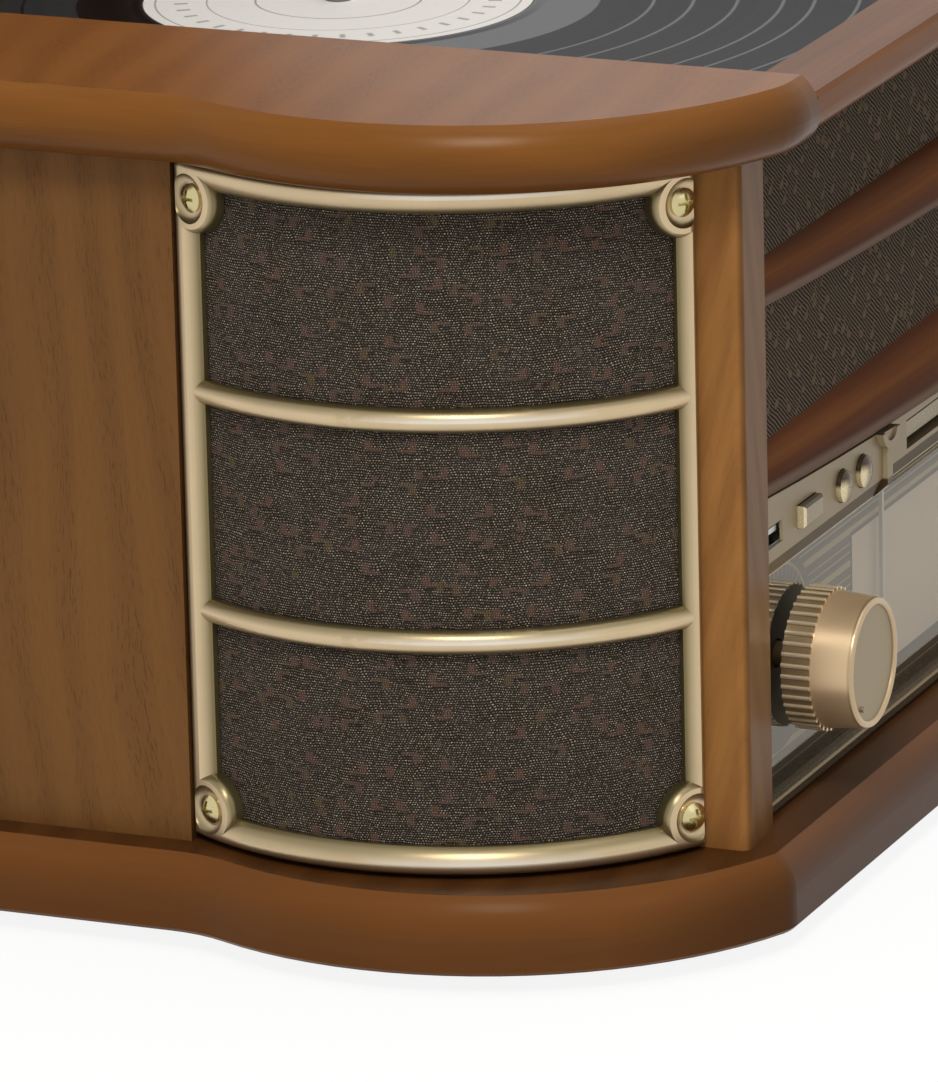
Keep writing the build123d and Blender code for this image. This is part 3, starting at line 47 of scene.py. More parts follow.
# ------------------------------------------------------------------ looks shared by the woods
WARM_SHINE = (1.0, 0.88, 0.74, 1)
RED_SHINE = (1.0, 0.8, 0.6, 1)
# painted shade, multiplied into wood faces that point to the front
PAINTED_FRONT_SHADE = (0.5, 0.5, 0.5, 1)

# ------------------------------------------------------------------ the photo's viewpoint
CAMERA_PLACE = (-2.24802, -0.98584, 0.75928)
CAMERA_ANGLES = (-66.667, 16.571, -1.403)       # azimuth, elevation, roll
CAMERA_LENS = 326.14
CAMERA_SENSOR = 36.0


# ------------------------------------------------------------------ camera, floor and light
def look(azimuth, elevation, roll=0.0):
    """Rotation of a camera or lamp that looks at the object from these angles, in degrees."""
    a, e, r = radians(azimuth), radians(elevation), radians(roll)
    back = Vector((sin(a) * cos(e), -cos(a) * cos(e), sin(e)))
    right = (-back).cross(Vector((0, 0, 1))).normalized()
    up = right.cross(-back)
    turned_right = right * cos(r) + up * sin(r)
    turned_up = up * cos(r) - right * sin(r)
    return Matrix((turned_right, turned_up, back)).transposed()


def camera():
    """Camera at the photo's viewpoint."""
    data = bpy.data.cameras.new("camera")
    data.lens = CAMERA_LENS
    data.sensor_width = CAMERA_SENSOR
    data.clip_start = 0.05
    data.clip_end = 50
    obj = bpy.data.objects.new("camera", data)
    obj.matrix_world = (
        Matrix.Translation(CAMERA_PLACE)
        @ look(*CAMERA_ANGLES).to_4x4()
    )
    bpy.context.scene.collection.objects.link(obj)
    bpy.context.scene.camera = obj


def lamp(name, azimuth, elevation, distance, size, power, tint=(1, 1, 1)):
    """Square soft lamp that faces the middle of the object."""
    data = bpy.data.lights.new(name, "AREA")
    data.size = size
    data.energy = power
    data.color = tint
    obj = bpy.data.objects.new(name, data)
    turn = look(azimuth, elevation)
    obj.matrix_world = (
        Matrix.Translation(Vector((0, 0, 0.12)) + turn @ Vector((0, 0, distance)))
        @ turn.to_4x4()
    )
    bpy.context.scene.collection.objects.link(obj)


def seen_white(tree, plain):
    """Mixes a shader with another one, added to input 2, for rays that show the background."""
    path = tree.nodes.new("ShaderNodeLightPath")
    first = tree.nodes.new("ShaderNodeMath")
    first.operation = "MAXIMUM"
    second = tree.nodes.new("ShaderNodeMath")
    second.operation = "MAXIMUM"
    tree.links.new(path.outputs["Is Camera Ray"], first.inputs[0])
    tree.links.new(path.outputs["Is Glossy Ray"], first.inputs[1])
    tree.links.new(first.outputs[0], second.inputs[0])
    tree.links.new(path.outputs["Is Transmission Ray"], second.inputs[1])
    mixed = tree.nodes.new("ShaderNodeMixShader")
    tree.links.new(second.outputs[0], mixed.inputs[0])
    tree.links.new(plain, mixed.inputs[1])
    return mixed


def world():
    """White for all rays that show it, and a softer light on the object."""
    data = bpy.data.worlds.new("world")
    data.use_nodes = True
    tree = data.node_tree
    tree.nodes.clear()
    soft = tree.nodes.new("ShaderNodeBackground")
    soft.inputs["Color"].default_value = (1.0, 0.99, 0.97, 1)
    soft.inputs["Strength"].default_value = 0.42
    white = tree.nodes.new("ShaderNodeBackground")
    white.inputs["Strength"].default_value = 1.0
    white.inputs["Color"].default_value = (1, 1, 1, 1)
    mixed = seen_white(tree, soft.outputs[0])
    tree.links.new(white.outputs[0], mixed.inputs[2])
    out = tree.nodes.new("ShaderNodeOutputWorld")
    tree.links.new(mixed.outputs[0], out.inputs["Surface"])
    bpy.context.scene.world = data


def floor():
    """Wide plane that looks white but keeps a faint shadow of the object."""
    mesh = bpy.data.meshes.new("floor")
    half = 6.0
    mesh.from_pydata(
        [(-half, -half, 0), (half, -half, 0), (half, half, 0), (-half, half, 0)],
        [],
        [(0, 1, 2, 3)],
    )
    obj = bpy.data.objects.new("floor", mesh)
    bpy.context.scene.collection.objects.link(obj)
    material = bpy.data.materials.new("floor")
    material.use_nodes = True
    tree = material.node_tree
    tree.nodes.clear()
    matt = tree.nodes.new("ShaderNodeBsdfDiffuse")
    matt.inputs["Color"].default_value = (0.8, 0.8, 0.79, 1)
    white = tree.nodes.new("ShaderNodeEmission")
    white.inputs["Strength"].default_value = 1.08
    shadow = tree.nodes.new("ShaderNodeMixShader")
    shadow.inputs[0].default_value = 0.18
    tree.links.new(white.outputs[0], shadow.inputs[1])
    tree.links.new(matt.outputs[0], shadow.inputs[2])
    mixed = seen_white(tree, matt.outputs[0])
    tree.links.new(shadow.outputs[0], mixed.inputs[2])
    out = tree.nodes.new("ShaderNodeOutputMaterial")
    tree.links.new(mixed.outputs[0], out.inputs["Surface"])
    mesh.materials.append(material)


camera()
world()
floor()
lamp("key", azimuth=-70, elevation=46, distance=2.8, size=0.7, power=28.0, tint=(1.0, 0.98, 0.95))
lamp("top", azimuth=10, elevation=82, distance=2.2, size=1.6, power=12.0)
lamp("front", azimuth=-20, elevation=28, distance=2.8, size=1.2, power=2.5)
bpy.context.scene.view_settings.view_transform = "Standard"


# ------------------------------------------------------------------ material helper
def tone(red, green, blue):
    """Linear colour of a tone given as it appears, 0 to 255."""

    def linear(value):
        value /= 255
        return value / 12.92 if value <= 0.04045 else ((value + 0.055) / 1.055) ** 2.4

    return (linear(red), linear(green), linear(blue), 1.0)


class Finish:
    """A node material that is put together step by step. Coordinates are in millimetres."""

    def __init__(self, name):
        self.material = bpy.data.materials.new(name)
        self.material.use_nodes = True
        self.tree = self.material.node_tree
        self.tree.nodes.clear()
        self.point = self.vector(
            "MULTIPLY",
            self.add("ShaderNodeTexCoord").outputs["Object"],
            (1000, 1000, 1000),
        )
        self.x, self.y, self.z = self.split(self.point)

    def add(self, kind, **settings):
        node = self.tree.nodes.new(kind)
        for key, value in settings.items():
            setattr(node, key, value)
        return node

    def put(self, socket, value):
        if isinstance(value, bpy.types.NodeSocket):
            self.tree.links.new(value, socket)
        else:
            socket.default_value = value

    def math(self, operation, *values, clamp=False):
        node = self.add("ShaderNodeMath", operation=operation, use_clamp=clamp)
        for socket, value in zip(node.inputs, values):
            self.put(socket, value)
        return node.outputs[0]

    def product(self, first, second):
        return self.math("MULTIPLY", first, second)

    def difference(self, first, second):
        return self.math("SUBTRACT", first, second)

    def rest(self, share):
        """What is left of one."""
        return self.math("SUBTRACT", 1.0, share)

    def absolute(self, value):
        return self.math("ABSOLUTE", value)

    def most(self, first, second):
        return self.math("MAXIMUM", first, second)

    def vector(self, operation, *values):
        node = self.add("ShaderNodeVectorMath", operation=operation)
        for socket, value in zip(node.inputs, values):
            self.put(socket, value)
        return node.outputs["Value"] if operation in ("DOT_PRODUCT", "LENGTH") else node.outputs[0]

    def split(self, value):
        node = self.add("ShaderNodeSeparateXYZ")
        self.put(node.inputs[0], value)
        return node.outputs[0], node.outputs[1], node.outputs[2]

    def join(self, x, y, z=0.0):
        node = self.add("ShaderNodeCombineXYZ")
        for socket, value in zip(node.inputs, (x, y, z)):
            self.put(socket, value)
        return node.outputs[0]

    def facing(self):
        """Direction of the surface itself, without its bumps."""
        return self.add("ShaderNodeNewGeometry").outputs["Normal"]

    def scaled(self, x, y, z):
        """Coordinates times a factor for each axis."""
        return self.vector("MULTIPLY", self.point, (x, y, z))

    def noise(self, at, scale=1.0, detail=2.0, rough=0.5):
        node = self.add("ShaderNodeTexNoise")
        self.put(node.inputs["Vector"], at)
        node.inputs["Scale"].default_value = scale
        node.inputs["Detail"].default_value = detail
        node.inputs["Roughness"].default_value = rough
        return node.outputs["Fac"]

    def cells(self, at, scale=1.0):
        """Scattered cells, each with its own place and random colour."""
        node = self.add("ShaderNodeTexVoronoi", feature="F1")
        self.put(node.inputs["Vector"], at)
        node.inputs["Scale"].default_value = scale
        return node

    def ramp(self, value, *stops):
        """Stops are (position, tone)."""
        node = self.add("ShaderNodeValToRGB")
        node.color_ramp.interpolation = "LINEAR"
        elements = node.color_ramp.elements
        while len(elements) < len(stops):
            elements.new(0.5)
        for element, (position, colour) in zip(elements, stops):
            element.position = position
            element.color = colour
        self.put(node.inputs[0], value)
        return node.outputs[0]

    def step(self, value, low, high):
        """0 below low, 1 above high."""
        node = self.add("ShaderNodeMapRange", clamp=True)
        self.put(node.inputs[0], value)
        node.inputs[1].default_value = low
        node.inputs[2].default_value = high
        return node.outputs[0]

    def between(self, value, low, high, soft):
        """1 between low and high."""
        rise = self.step(value, low - soft, low + soft)
        fall = self.step(value, high - soft, high + soft)
        return self.math("SUBTRACT", rise, fall, clamp=True)

    def mix(self, share, first, second, blend="MIX"):
        node = self.add("ShaderNodeMix", data_type="RGBA", blend_type=blend)
        self.put(node.inputs[0], share)
        self.put(node.inputs[6], first)
        self.put(node.inputs[7], second)
        return node.outputs[2]

    def bump(self, height, strength, distance):
        """Normal of a surface with this height pattern, distance in millimetres."""
        node = self.add("ShaderNodeBump")
        node.inputs["Strength"].default_value = strength
        node.inputs["Distance"].default_value = distance * MM
        self.put(node.inputs["Height"], height)
        return node.outputs[0]

    def surface(self, **sockets):
        """Material of one Principled shader with these sockets."""
        node = self.add("ShaderNodeBsdfPrincipled")
        names = {
            "colour": "Base Color",
            "metal": "Metallic",
            "rough": "Roughness",
            "normal": "Normal",
            "shine": "Specular IOR Level",
            "tint": "Specular Tint",
            "sheen": "Sheen Weight",
        }
        for key, value in sockets.items():
            self.put(node.inputs[names[key]], value)
        out = self.add("ShaderNodeOutputMaterial")
        self.tree.links.new(node.outputs[0], out.inputs[0])
        return self.material


# ------------------------------------------------------------------ wood
def grain(f, along, across, seed, wander=10.0, slant=0.0):
    """Coordinates that follow wood grain: along it, across it, and how far the grain wanders."""
    length = f.vector("DOT_PRODUCT", f.point, along)
    width = f.vector("DOT_PRODUCT", f.point, across)
    deep = Vector(along).cross(Vector(across))
    depth = f.product(f.vector("DOT_PRODUCT", f.point, deep), 0.25)
    swing = f.noise(
        f.join(
            f.math("MULTIPLY_ADD", length, 1 / 170, seed),
            f.product(width, 1 / 60),
            f.product(depth, 1 / 40),
        ),
        detail=1.5,
    )
    moved = f.math("MULTIPLY_ADD", swing, wander * 2, width)
    if slant:
        moved = f.math("MULTIPLY_ADD", length, slant, moved)
    return length, moved, depth


def stretch(f, length, width, depth, long, wide, seed=0.0):
    """Coordinates for noise that is long along the grain and wide across it, in millimetres."""
    return f.join(
        f.math("MULTIPLY_ADD", length, 1 / long, seed),
        f.product(width, 1 / wide),
        f.product(depth, 1 / wide),
    )


def veneer_pattern(f, along, across, seed, spacing, wander, slant=0.0):
    """Band, streak, patch and pore values of a veneer, each 0 to 1."""
    length, width, depth = grain(f, along, across, seed, wander, slant)
    wave = f.math("SINE", f.product(width, 2 * pi / spacing))
    uneven = f.noise(stretch(f, length, width, depth, 60, spacing * 0.9, seed), detail=2)
    band = f.step(
        f.math("MULTIPLY_ADD", uneven, 2.4, f.product(wave, 0.55)), 0.75, 1.75
    )
    streak = f.noise(stretch(f, length, width, depth, 70, 1.6, seed + 3), detail=3, rough=0.6)
    patch = f.noise(stretch(f, length, width, depth, 220, 70, seed + 7), detail=1)
    pore = f.step(
        f.noise(stretch(f, length, width, depth, 3.4, 0.33, seed + 11), detail=1.5), 0.56, 0.68
    )
    return band, streak, patch, pore


def wood(name, along, across, light, dark, pore_tone, seed=0.0, spacing=7.6, wander=10.0,
         slant=0.0, rough=0.36, band_share=0.6, streak_share=0.5, pore_share=0.3, nose=None,
         nose_below=None, shine_level=0.17):
    """Veneered board, with painted shade where it faces the front.
    Below nose_below (mm) the surface is plain stained wood in the nose tones, darker lower down:
    partly stain, partly painted shading."""
    f = Finish(name)
    band, streak, patch, pore = veneer_pattern(f, along, across, seed, spacing, wander, slant)
    mixed = f.product(band, band_share)
    mixed = f.math("MULTIPLY_ADD", f.difference(streak, 0.5), streak_share, mixed)
    mixed = f.math("MULTIPLY_ADD", f.difference(patch, 0.5), 0.9, mixed)
    colour = f.mix(f.math("ADD", mixed, 0.3, clamp=True), light, dark)
    pores = f.product(pore, f.math("MULTIPLY_ADD", band, pore_share, pore_share * 0.5))
    colour = f.mix(pores, colour, pore_tone)
    height = f.math("MULTIPLY_ADD", pores, -0.6, f.product(streak, 0.5))
    rough = f.math("MULTIPLY_ADD", pores, 0.2, rough)
    if nose:
        plain = f.noise(f.scaled(0.02, 0.02, 0.16), detail=3)
        fine = f.noise(f.scaled(0.05, 0.05, 1.1), detail=3)
        # partly stain, partly painted shading: the nose gets darker lower down
        low = f.rest(f.step(f.z, nose_below - 15, nose_below - 3))
        share = f.math("MULTIPLY_ADD", plain, 0.5, f.product(fine, 0.25))
        stained = f.mix(f.math("MULTIPLY_ADD", low, 0.5, share, clamp=True), nose[0], nose[1])
        top = f.step(f.z, nose_below - 0.02, nose_below + 0.02)
        colour = f.mix(top, stained, colour)
        height = f.product(height, f.math("MULTIPLY_ADD", top, 0.75, 0.25))
        rough = f.math("MULTIPLY_ADD", top, 0.04, f.math("MULTIPLY_ADD", plain, 0.1, 0.24))
    # painted shade on faces that point to the front
    _, front, _ = f.split(f.facing())
    colour = f.mix(f.step(front, -0.6, -0.97), colour, PAINTED_FRONT_SHADE, blend="MULTIPLY")
    return f.surface(
        colour=colour, rough=rough, shine=shine_level, tint=WARM_SHINE,
        normal=f.bump(height, 0.16, 0.1),
    )


top_wood = wood(
    "veneer_top", (0.9902, 0.141, 0), (-0.141, 0.9902, 0), tone(143, 89, 40), tone(115, 68, 30),
    tone(62, 35, 16), seed=1.3, spacing=16, wander=14, band_share=0.3, rough=0.36,
    nose=(tone(143, 89, 33), tone(98, 57, 20)), nose_below=TOP_OF_BOARDS,
)
base_wood = wood(
    "veneer_base", (0.9902, 0.141, 0), (-0.141, 0.9902, 0), tone(92, 56, 26), tone(60, 34, 15),
    tone(46, 26, 12), seed=4.1, spacing=16, wander=14, band_share=0.3, rough=0.42,
    nose=(tone(127, 79, 38), tone(101, 62, 31)), nose_below=TOP_OF_BASE, shine_level=0.07,
)
side_wood = wood(
    "veneer_side", (0, 0, 1), (0, 1, 0), tone(128, 87, 46), tone(98, 63, 31), tone(70, 44, 24),
    seed=2.2, spacing=14, wander=16, slant=-0.12, band_share=0.3, streak_share=0.4,
    pore_share=0.35, rough=0.45,
)
post_wood = wood(
    "post_wood", (0, 0, 1), (0.7, 0.7, 0), tone(170, 118, 65), tone(120, 78, 42),
    tone(96, 60, 28), seed=6.0, spacing=7, wander=3, slant=0.2, band_share=0.25, streak_share=0.7,
    pore_share=0.1, rough=0.34, shine_level=0.06,
)
back_wood = wood(
    "back_board", (1, 0, 0), (0, 0, 1), tone(118, 80, 47), tone(100, 67, 39), tone(58, 38, 22),
    seed=9.0, spacing=11, wander=12, band_share=0.5, rough=0.55, shine_level=0.2,
)
lid_wood = wood(
    "veneer_lid", (1, 0, 0), (0, 0.4226, 0.9063), tone(134, 84, 40), tone(112, 68, 31),
    tone(60, 34, 18), seed=12.0, spacing=16, wander=18, band_share=0.35, rough=0.36,
)
well_wood = wood(
    "well_board", (0, 1, 0), (1, 0, 0.5), tone(104, 84, 66), tone(72, 56, 42), tone(50, 38, 28),
    seed=15.0, spacing=10, wander=8, band_share=0.4, rough=0.5, shine_level=0.2,
)


def red_wood(name, along, across, seed, light, dark, shine_level):
    """Stained rail with fine grain."""
    f = Finish(name)
    length, width, depth = grain(f, along, across, seed, 2.0)
    streak = f.noise(stretch(f, length, width, depth, 60, 1.4, seed), detail=4, rough=0.6)
    patch = f.noise(stretch(f, length, width, depth, 90, 6, seed + 2), detail=2)
    share = f.math("MULTIPLY_ADD", patch, 0.9, f.math("MULTIPLY_ADD", streak, 0.7, -0.3), clamp=True)
    return f.surface(
        colour=f.mix(share, light, dark), rough=0.3, shine=shine_level, tint=RED_SHINE,
        normal=f.bump(streak, 0.12, 0.06),
    )


def bar_wood(name, seed, low_end, high_end, low_middle, high_middle):
    """Stained bar with painted light: a painted highlight above its middle that fades to painted
    shade towards the edges, and a painted pale reflection along its lower edge.
    Its heights (mm) are given at the ends and in the middle, because it bows."""
    f = Finish(name)
    length, width, depth = grain(f, (1, 0, 0), (0, 0, 1), seed, 1.2)
    streak = f.noise(stretch(f, length, width, depth, 70, 1.5, seed), detail=4, rough=0.6)
    patch = f.noise(stretch(f, length, width, depth, 60, 7, seed + 2), detail=2)
    half_length = 177
    bow = f.math("POWER", f.product(f.absolute(f.x), 1 / half_length), 2)
    low = f.math("MULTIPLY_ADD", bow, low_end - low_middle, low_middle)
    high = f.math("MULTIPLY_ADD", bow, high_end - high_middle, high_middle)
    share = f.math("DIVIDE", f.difference(f.z, low), f.difference(high, low))
    drift = f.math("MULTIPLY_ADD", f.difference(patch, 0.5), 0.22, share)
    # painted shading across the bar's height: a painted highlight above the middle, painted shade
    # towards both edges
    colour = f.ramp(
        drift, (0.0, tone(76, 38, 18)), (0.25, tone(72, 36, 17)), (0.5, tone(92, 52, 26)),
        (0.68, tone(114, 70, 36)), (0.85, tone(98, 58, 30)), (1.0, tone(74, 42, 22)),
    )
    fine = f.math("MULTIPLY_ADD", f.difference(streak, 0.5), 0.9, 0.3, clamp=True)
    colour = f.mix(fine, colour, tone(70, 34, 13))
    # painted pale reflection along the lower edge
    pale = f.rest(f.step(share, 0.2, 0.32))
    colour = f.mix(f.product(pale, 0.85), colour, tone(120, 98, 84))
    return f.surface(
        colour=colour, rough=0.5, shine=0.02, normal=f.bump(streak, 0.1, 0.05)
    )


bar_upper = bar_wood("bar_upper", 3.0, 151.9, 164.2, 146.6, 164.5)
bar_lower = bar_wood("bar_lower", 5.0, 105.2, 119.0, 99.0, 121.3)
rail_wood = red_wood(
    "rail_wood", (1, 0, 0), (0, 1, 0.6), 8.0, tone(130, 80, 38), tone(88, 49, 21), 0.07
)


# ------------------------------------------------------------------ metal and plastic
def darker(colour, share):
    return tuple(part * share for part in colour[:3]) + (1,)


def satin(name, colour, rough=0.3, metal=0.9, grain_axis=(3, 3, 3)):
    """Satin metal or metal paint, with a fine grain and slightly uneven polish."""
    worn = 0.12
    f = Finish(name)
    fine = f.noise(f.scaled(*grain_axis), detail=3, rough=0.7)
    cloud = f.noise(f.scaled(0.05, 0.05, 0.05), detail=3)
    shade = f.math("MULTIPLY_ADD", fine, worn, f.product(cloud, worn), clamp=True)
    return f.surface(
        colour=f.mix(shade, colour, darker(colour, 0.62)),
        metal=metal,
        rough=f.math("MULTIPLY_ADD", f.difference(fine, 0.5), 0.16, rough),
        shine=0.5,
        normal=f.bump(fine, 0.25, 0.02),
    )


def knob_finish(name, colour, rough, metal):
    """Turned knob: fine lines round its axis, painted shade in the valleys and painted highlights on
    the crests of the ribs, a duller cap.
    """
    f = Finish(name)
    from_x = f.difference(f.absolute(f.x), KNOB[0])
    from_z = f.difference(f.z, KNOB[1])
    radius = f.vector("LENGTH", f.join(from_x, from_z))
    forwards = f.product(f.y, -1)
    line = f.noise(f.join(f.product(radius, 9), f.product(f.y, 11)), detail=3, rough=0.7)
    cloud = f.noise(f.scaled(0.3, 0.3, 0.3), detail=2)
    beyond_cap = f.step(radius, KNOB_FACE_RADIUS, KNOB_FACE_RADIUS + 0.2)
    front = f.step(forwards, KNOB_FRONT, KNOB_FRONT + 0.4)
    cap = f.product(front, f.rest(beyond_cap))
    shade = f.math("MULTIPLY_ADD", line, 0.06, f.product(cloud, 0.08), clamp=True)
    body = f.mix(shade, colour, darker(colour, 0.6))
    skirt = f.rest(f.step(forwards, KNOB_SKIRT_END, KNOB_SKIRT_END + 0.4))
    # painted shade in the valleys between the ribs, painted highlight on their crests
    crest = f.step(radius, KNOB_CREST_RADIUS, KNOB_CREST_RADIUS + 0.3)
    painted_valley_shade = f.product(skirt, f.math("MULTIPLY_ADD", crest, -0.5, 0.5))
    body = f.mix(painted_valley_shade, body, tone(92, 77, 50))
    body = f.mix(f.product(skirt, crest), body, tone(246, 230, 196))
    rim = f.product(front, f.product(beyond_cap, 0.5))
    body = f.mix(rim, body, tone(150, 130, 96))
    return f.surface(
        colour=f.mix(cap, body, tone(150, 134, 106)),
        metal=metal,
        rough=f.math("MULTIPLY_ADD", line, 0.05, f.math("MULTIPLY_ADD", cap, 0.16, rough)),
        normal=f.bump(line, 0.05, 0.004),
    )


def plastic(name, colour, rough=0.4, speck=0.1):
    """Moulded plastic with a fine grain and cloudy tone."""
    f = Finish(name)
    fine = f.noise(f.point, 2.4, detail=3, rough=0.7)
    cloud = f.noise(f.point, 0.06, detail=2)
    share = f.math("MULTIPLY_ADD", cloud, 0.6, f.product(fine, 0.4), clamp=True)
    return f.surface(
        colour=f.mix(share, colour, darker(colour, 1 - speck * 2.5)),
        rough=f.math("MULTIPLY_ADD", cloud, 0.12, rough - 0.06),
        shine=0.3, normal=f.bump(fine, 0.2, 0.03),
    )


def ridged_gold():
    """Champagne paint of the grille frames with painted light: a painted highlight along the ridges
    and a painted near-white highlight in the middle of the curve, painted shade on the slopes."""
    f = Finish("frame_gold")
    side = f.math("SIGN", f.x)
    from_x = f.difference(f.x, f.product(side, GRILLE[0]))
    from_y = f.difference(f.y, GRILLE[1])
    outwards = f.vector("NORMALIZE", f.join(from_x, from_y))
    facing = f.facing()
    flat = f.vector("DOT_PRODUCT", facing, outwards)
    _, _, up = f.split(facing)
    fine = f.noise(f.scaled(4, 4, 4), detail=3, rough=0.7)
    cloud = f.noise(f.scaled(0.08, 0.08, 0.08), detail=3)
    # painted highlight along the ridges, painted shade on the slopes
    painted_ridge_highlight = f.step(flat, 0.5, 0.97)
    colour = f.mix(painted_ridge_highlight, tone(128, 115, 80), tone(222, 198, 160))
    # painted shade on slopes that face up
    colour = f.mix(f.product(f.step(up, 0.12, 0.6), 0.6), colour, tone(116, 106, 72))
    # painted near-white highlight where the curve faces out to the side and a little to the front
    mirrored = f.product(f.split(outwards)[0], side)
    middle = (0.92, -0.39, 0.0)
    towards = f.vector("DOT_PRODUCT", f.join(mirrored, f.split(outwards)[1]), middle)
    painted_middle_highlight = f.product(f.step(towards, 0.93, 1.0), f.between(up, -0.02, 0.3, 0.2))
    colour = f.mix(f.product(painted_middle_highlight, 0.9), colour, tone(255, 250, 240))
    shade = f.math("MULTIPLY_ADD", fine, 0.14, f.product(cloud, 0.2), clamp=True)
    colour = f.mix(shade, colour, tone(112, 100, 74))
    return f.surface(
        colour=colour, metal=0.8, rough=f.math("MULTIPLY_ADD", fine, 0.08, 0.27), shine=0.4,
        normal=f.bump(fine, 0.2, 0.02),
    )


frame_gold = ridged_gold()


def strip_finish():
    """Satin strip with painted light: brighter on faces that point left, painted shade on faces that
    point up and on the lower bevel, which ends in a thin bright line.
    """
    f = Finish("strip_gold")
    fine = f.noise(f.scaled(0.15, 4, 4), detail=3, rough=0.7)
    cloud = f.noise(f.scaled(0.05, 0.05, 0.05), detail=3)
    left, _, up = f.split(f.facing())
    shade = f.math("MULTIPLY_ADD", fine, 0.15, f.product(cloud, 0.15))
    colour = f.mix(shade, tone(146, 130, 102), tone(102, 88, 68))
    # painted light: faces that point left are brighter
    colour = f.mix(f.step(left, -0.3, -0.7), colour, tone(196, 180, 146))
    # painted shade on faces that point up
    colour = f.mix(f.product(f.step(up, 0.3, 0.8), 0.6), colour, tone(88, 76, 58))
    # painted shade on the lower bevel
    low = f.rest(f.step(f.z, *STRIP_BEVEL))
    colour = f.mix(low, colour, tone(86, 70, 46))
    edge = f.rest(f.step(f.z, *STRIP_EDGE))
    colour = f.mix(edge, colour, tone(206, 196, 168))
    return f.surface(
        colour=colour, metal=0.5, rough=f.math("MULTIPLY_ADD", fine, 0.1, 0.38), shine=0.25,
        normal=f.bump(fine, 0.2, 0.02),
    )


def button_finish():
    """Glossy champagne buttons with painted light: painted shade on faces that point up or to the
    right, a painted highlight on faces that point left.
    """
    f = Finish("button_gold")
    fine = f.noise(f.scaled(3, 3, 3), detail=3, rough=0.7)
    left, _, up = f.split(f.facing())
    colour = f.mix(f.product(fine, 0.2), tone(146, 130, 100), tone(104, 91, 67))
    # painted highlight on faces that point left, painted shade on faces that point right or up
    colour = f.mix(f.step(left, -0.08, -0.3), colour, tone(224, 208, 170))
    colour = f.mix(f.step(left, 0.03, 0.22), colour, tone(84, 68, 44))
    colour = f.mix(f.step(up, 0.06, 0.3), colour, tone(74, 62, 44))
    return f.surface(
        colour=colour, metal=0.4, rough=f.math("MULTIPLY_ADD", fine, 0.06, 0.24), shine=0.25,
        normal=f.bump(fine, 0.05, 0.004),
    )


strip_gold = strip_finish()
trim_gold = satin("trim_gold", tone(112, 94, 62), rough=0.26, metal=0.9)
button_gold = button_finish()
brass = satin("screw_brass", tone(206, 194, 146), rough=0.26, metal=1.0)
steel = satin("steel", tone(178, 176, 170), rough=0.24, metal=1.0)
cast = satin("platter_metal", tone(140, 140, 140), rough=0.35, metal=0.9)
arm_silver = satin("arm_metal", tone(190, 190, 188), rough=0.2, metal=1.0, grain_axis=(4, 0.2, 4))
hinge_steel = satin("hinge_metal", tone(170, 160, 138), rough=0.34, metal=1.0)
knob_gold = knob_finish("knob_gold", tone(222, 194, 154), rough=0.28, metal=0.7)
black = plastic("black_plastic", tone(30, 29, 28), 0.42)
deck_black = plastic("deck_black", tone(40, 40, 41), 0.5)
cream = plastic("inner_plastic", tone(96, 90, 82), 0.5)
rubber = plastic("rubber", tone(28, 27, 27), 0.75)
pointer = plastic("pointer", tone(178, 166, 150), 0.35)
circuit = plastic("circuit_board", tone(38, 84, 50), 0.4, 0.2)
paper = plastic("paper_cone", tone(46, 44, 42), 0.85, 0.2)


def mat_felt():
    """Felt of the slip mat."""
    f = Finish("felt")
    fibre = f.noise(f.point, 1.6, detail=5, rough=0.75)
    cloud = f.noise(f.point, 0.09, detail=2)
    share = f.math("MULTIPLY_ADD", fibre, 0.7, f.product(cloud, 0.4), clamp=True)
    return f.surface(
        colour=f.mix(share, tone(48, 48, 50), tone(24, 24, 25)), rough=0.95,
        normal=f.bump(fibre, 0.6, 0.25), sheen=0.3,
    )


# ------------------------------------------------------------------ speaker cloth
def fleck_cells(f, u, v, size):
    """Place inside the nearest fleck's cell, mirrored at random, and two random values."""
    at = f.join(u, v)
    cell = f.cells(at, 1 / size)
    local = f.vector("SUBTRACT", at, cell.outputs["Position"])
    a, b, _ = f.split(local)
    pick_a, pick_b, pick_c = f.split(cell.outputs["Color"])
    a = f.product(a, f.math("MULTIPLY_ADD", f.math("GREATER_THAN", pick_a, 0.5), 2, -1))
    return a, b, pick_b, pick_c


def slab(f, a, b, middle_a, middle_b, half_a, half_b, soft):
    """1 inside a small upright rectangle."""
    over_a = f.absolute(f.difference(a, middle_a))
    over_b = f.absolute(f.difference(b, middle_b))
    inside_a = f.rest(f.step(over_a, half_a - soft, half_a + soft))
    inside_b = f.rest(f.step(over_b, half_b - soft, half_b + soft))
    return f.product(inside_a, inside_b)


def zigzag(f, value):
    """Distance from the middle of each step of one, 0 to 0.5."""
    return f.absolute(f.difference(f.math("FRACT", value), 0.5))


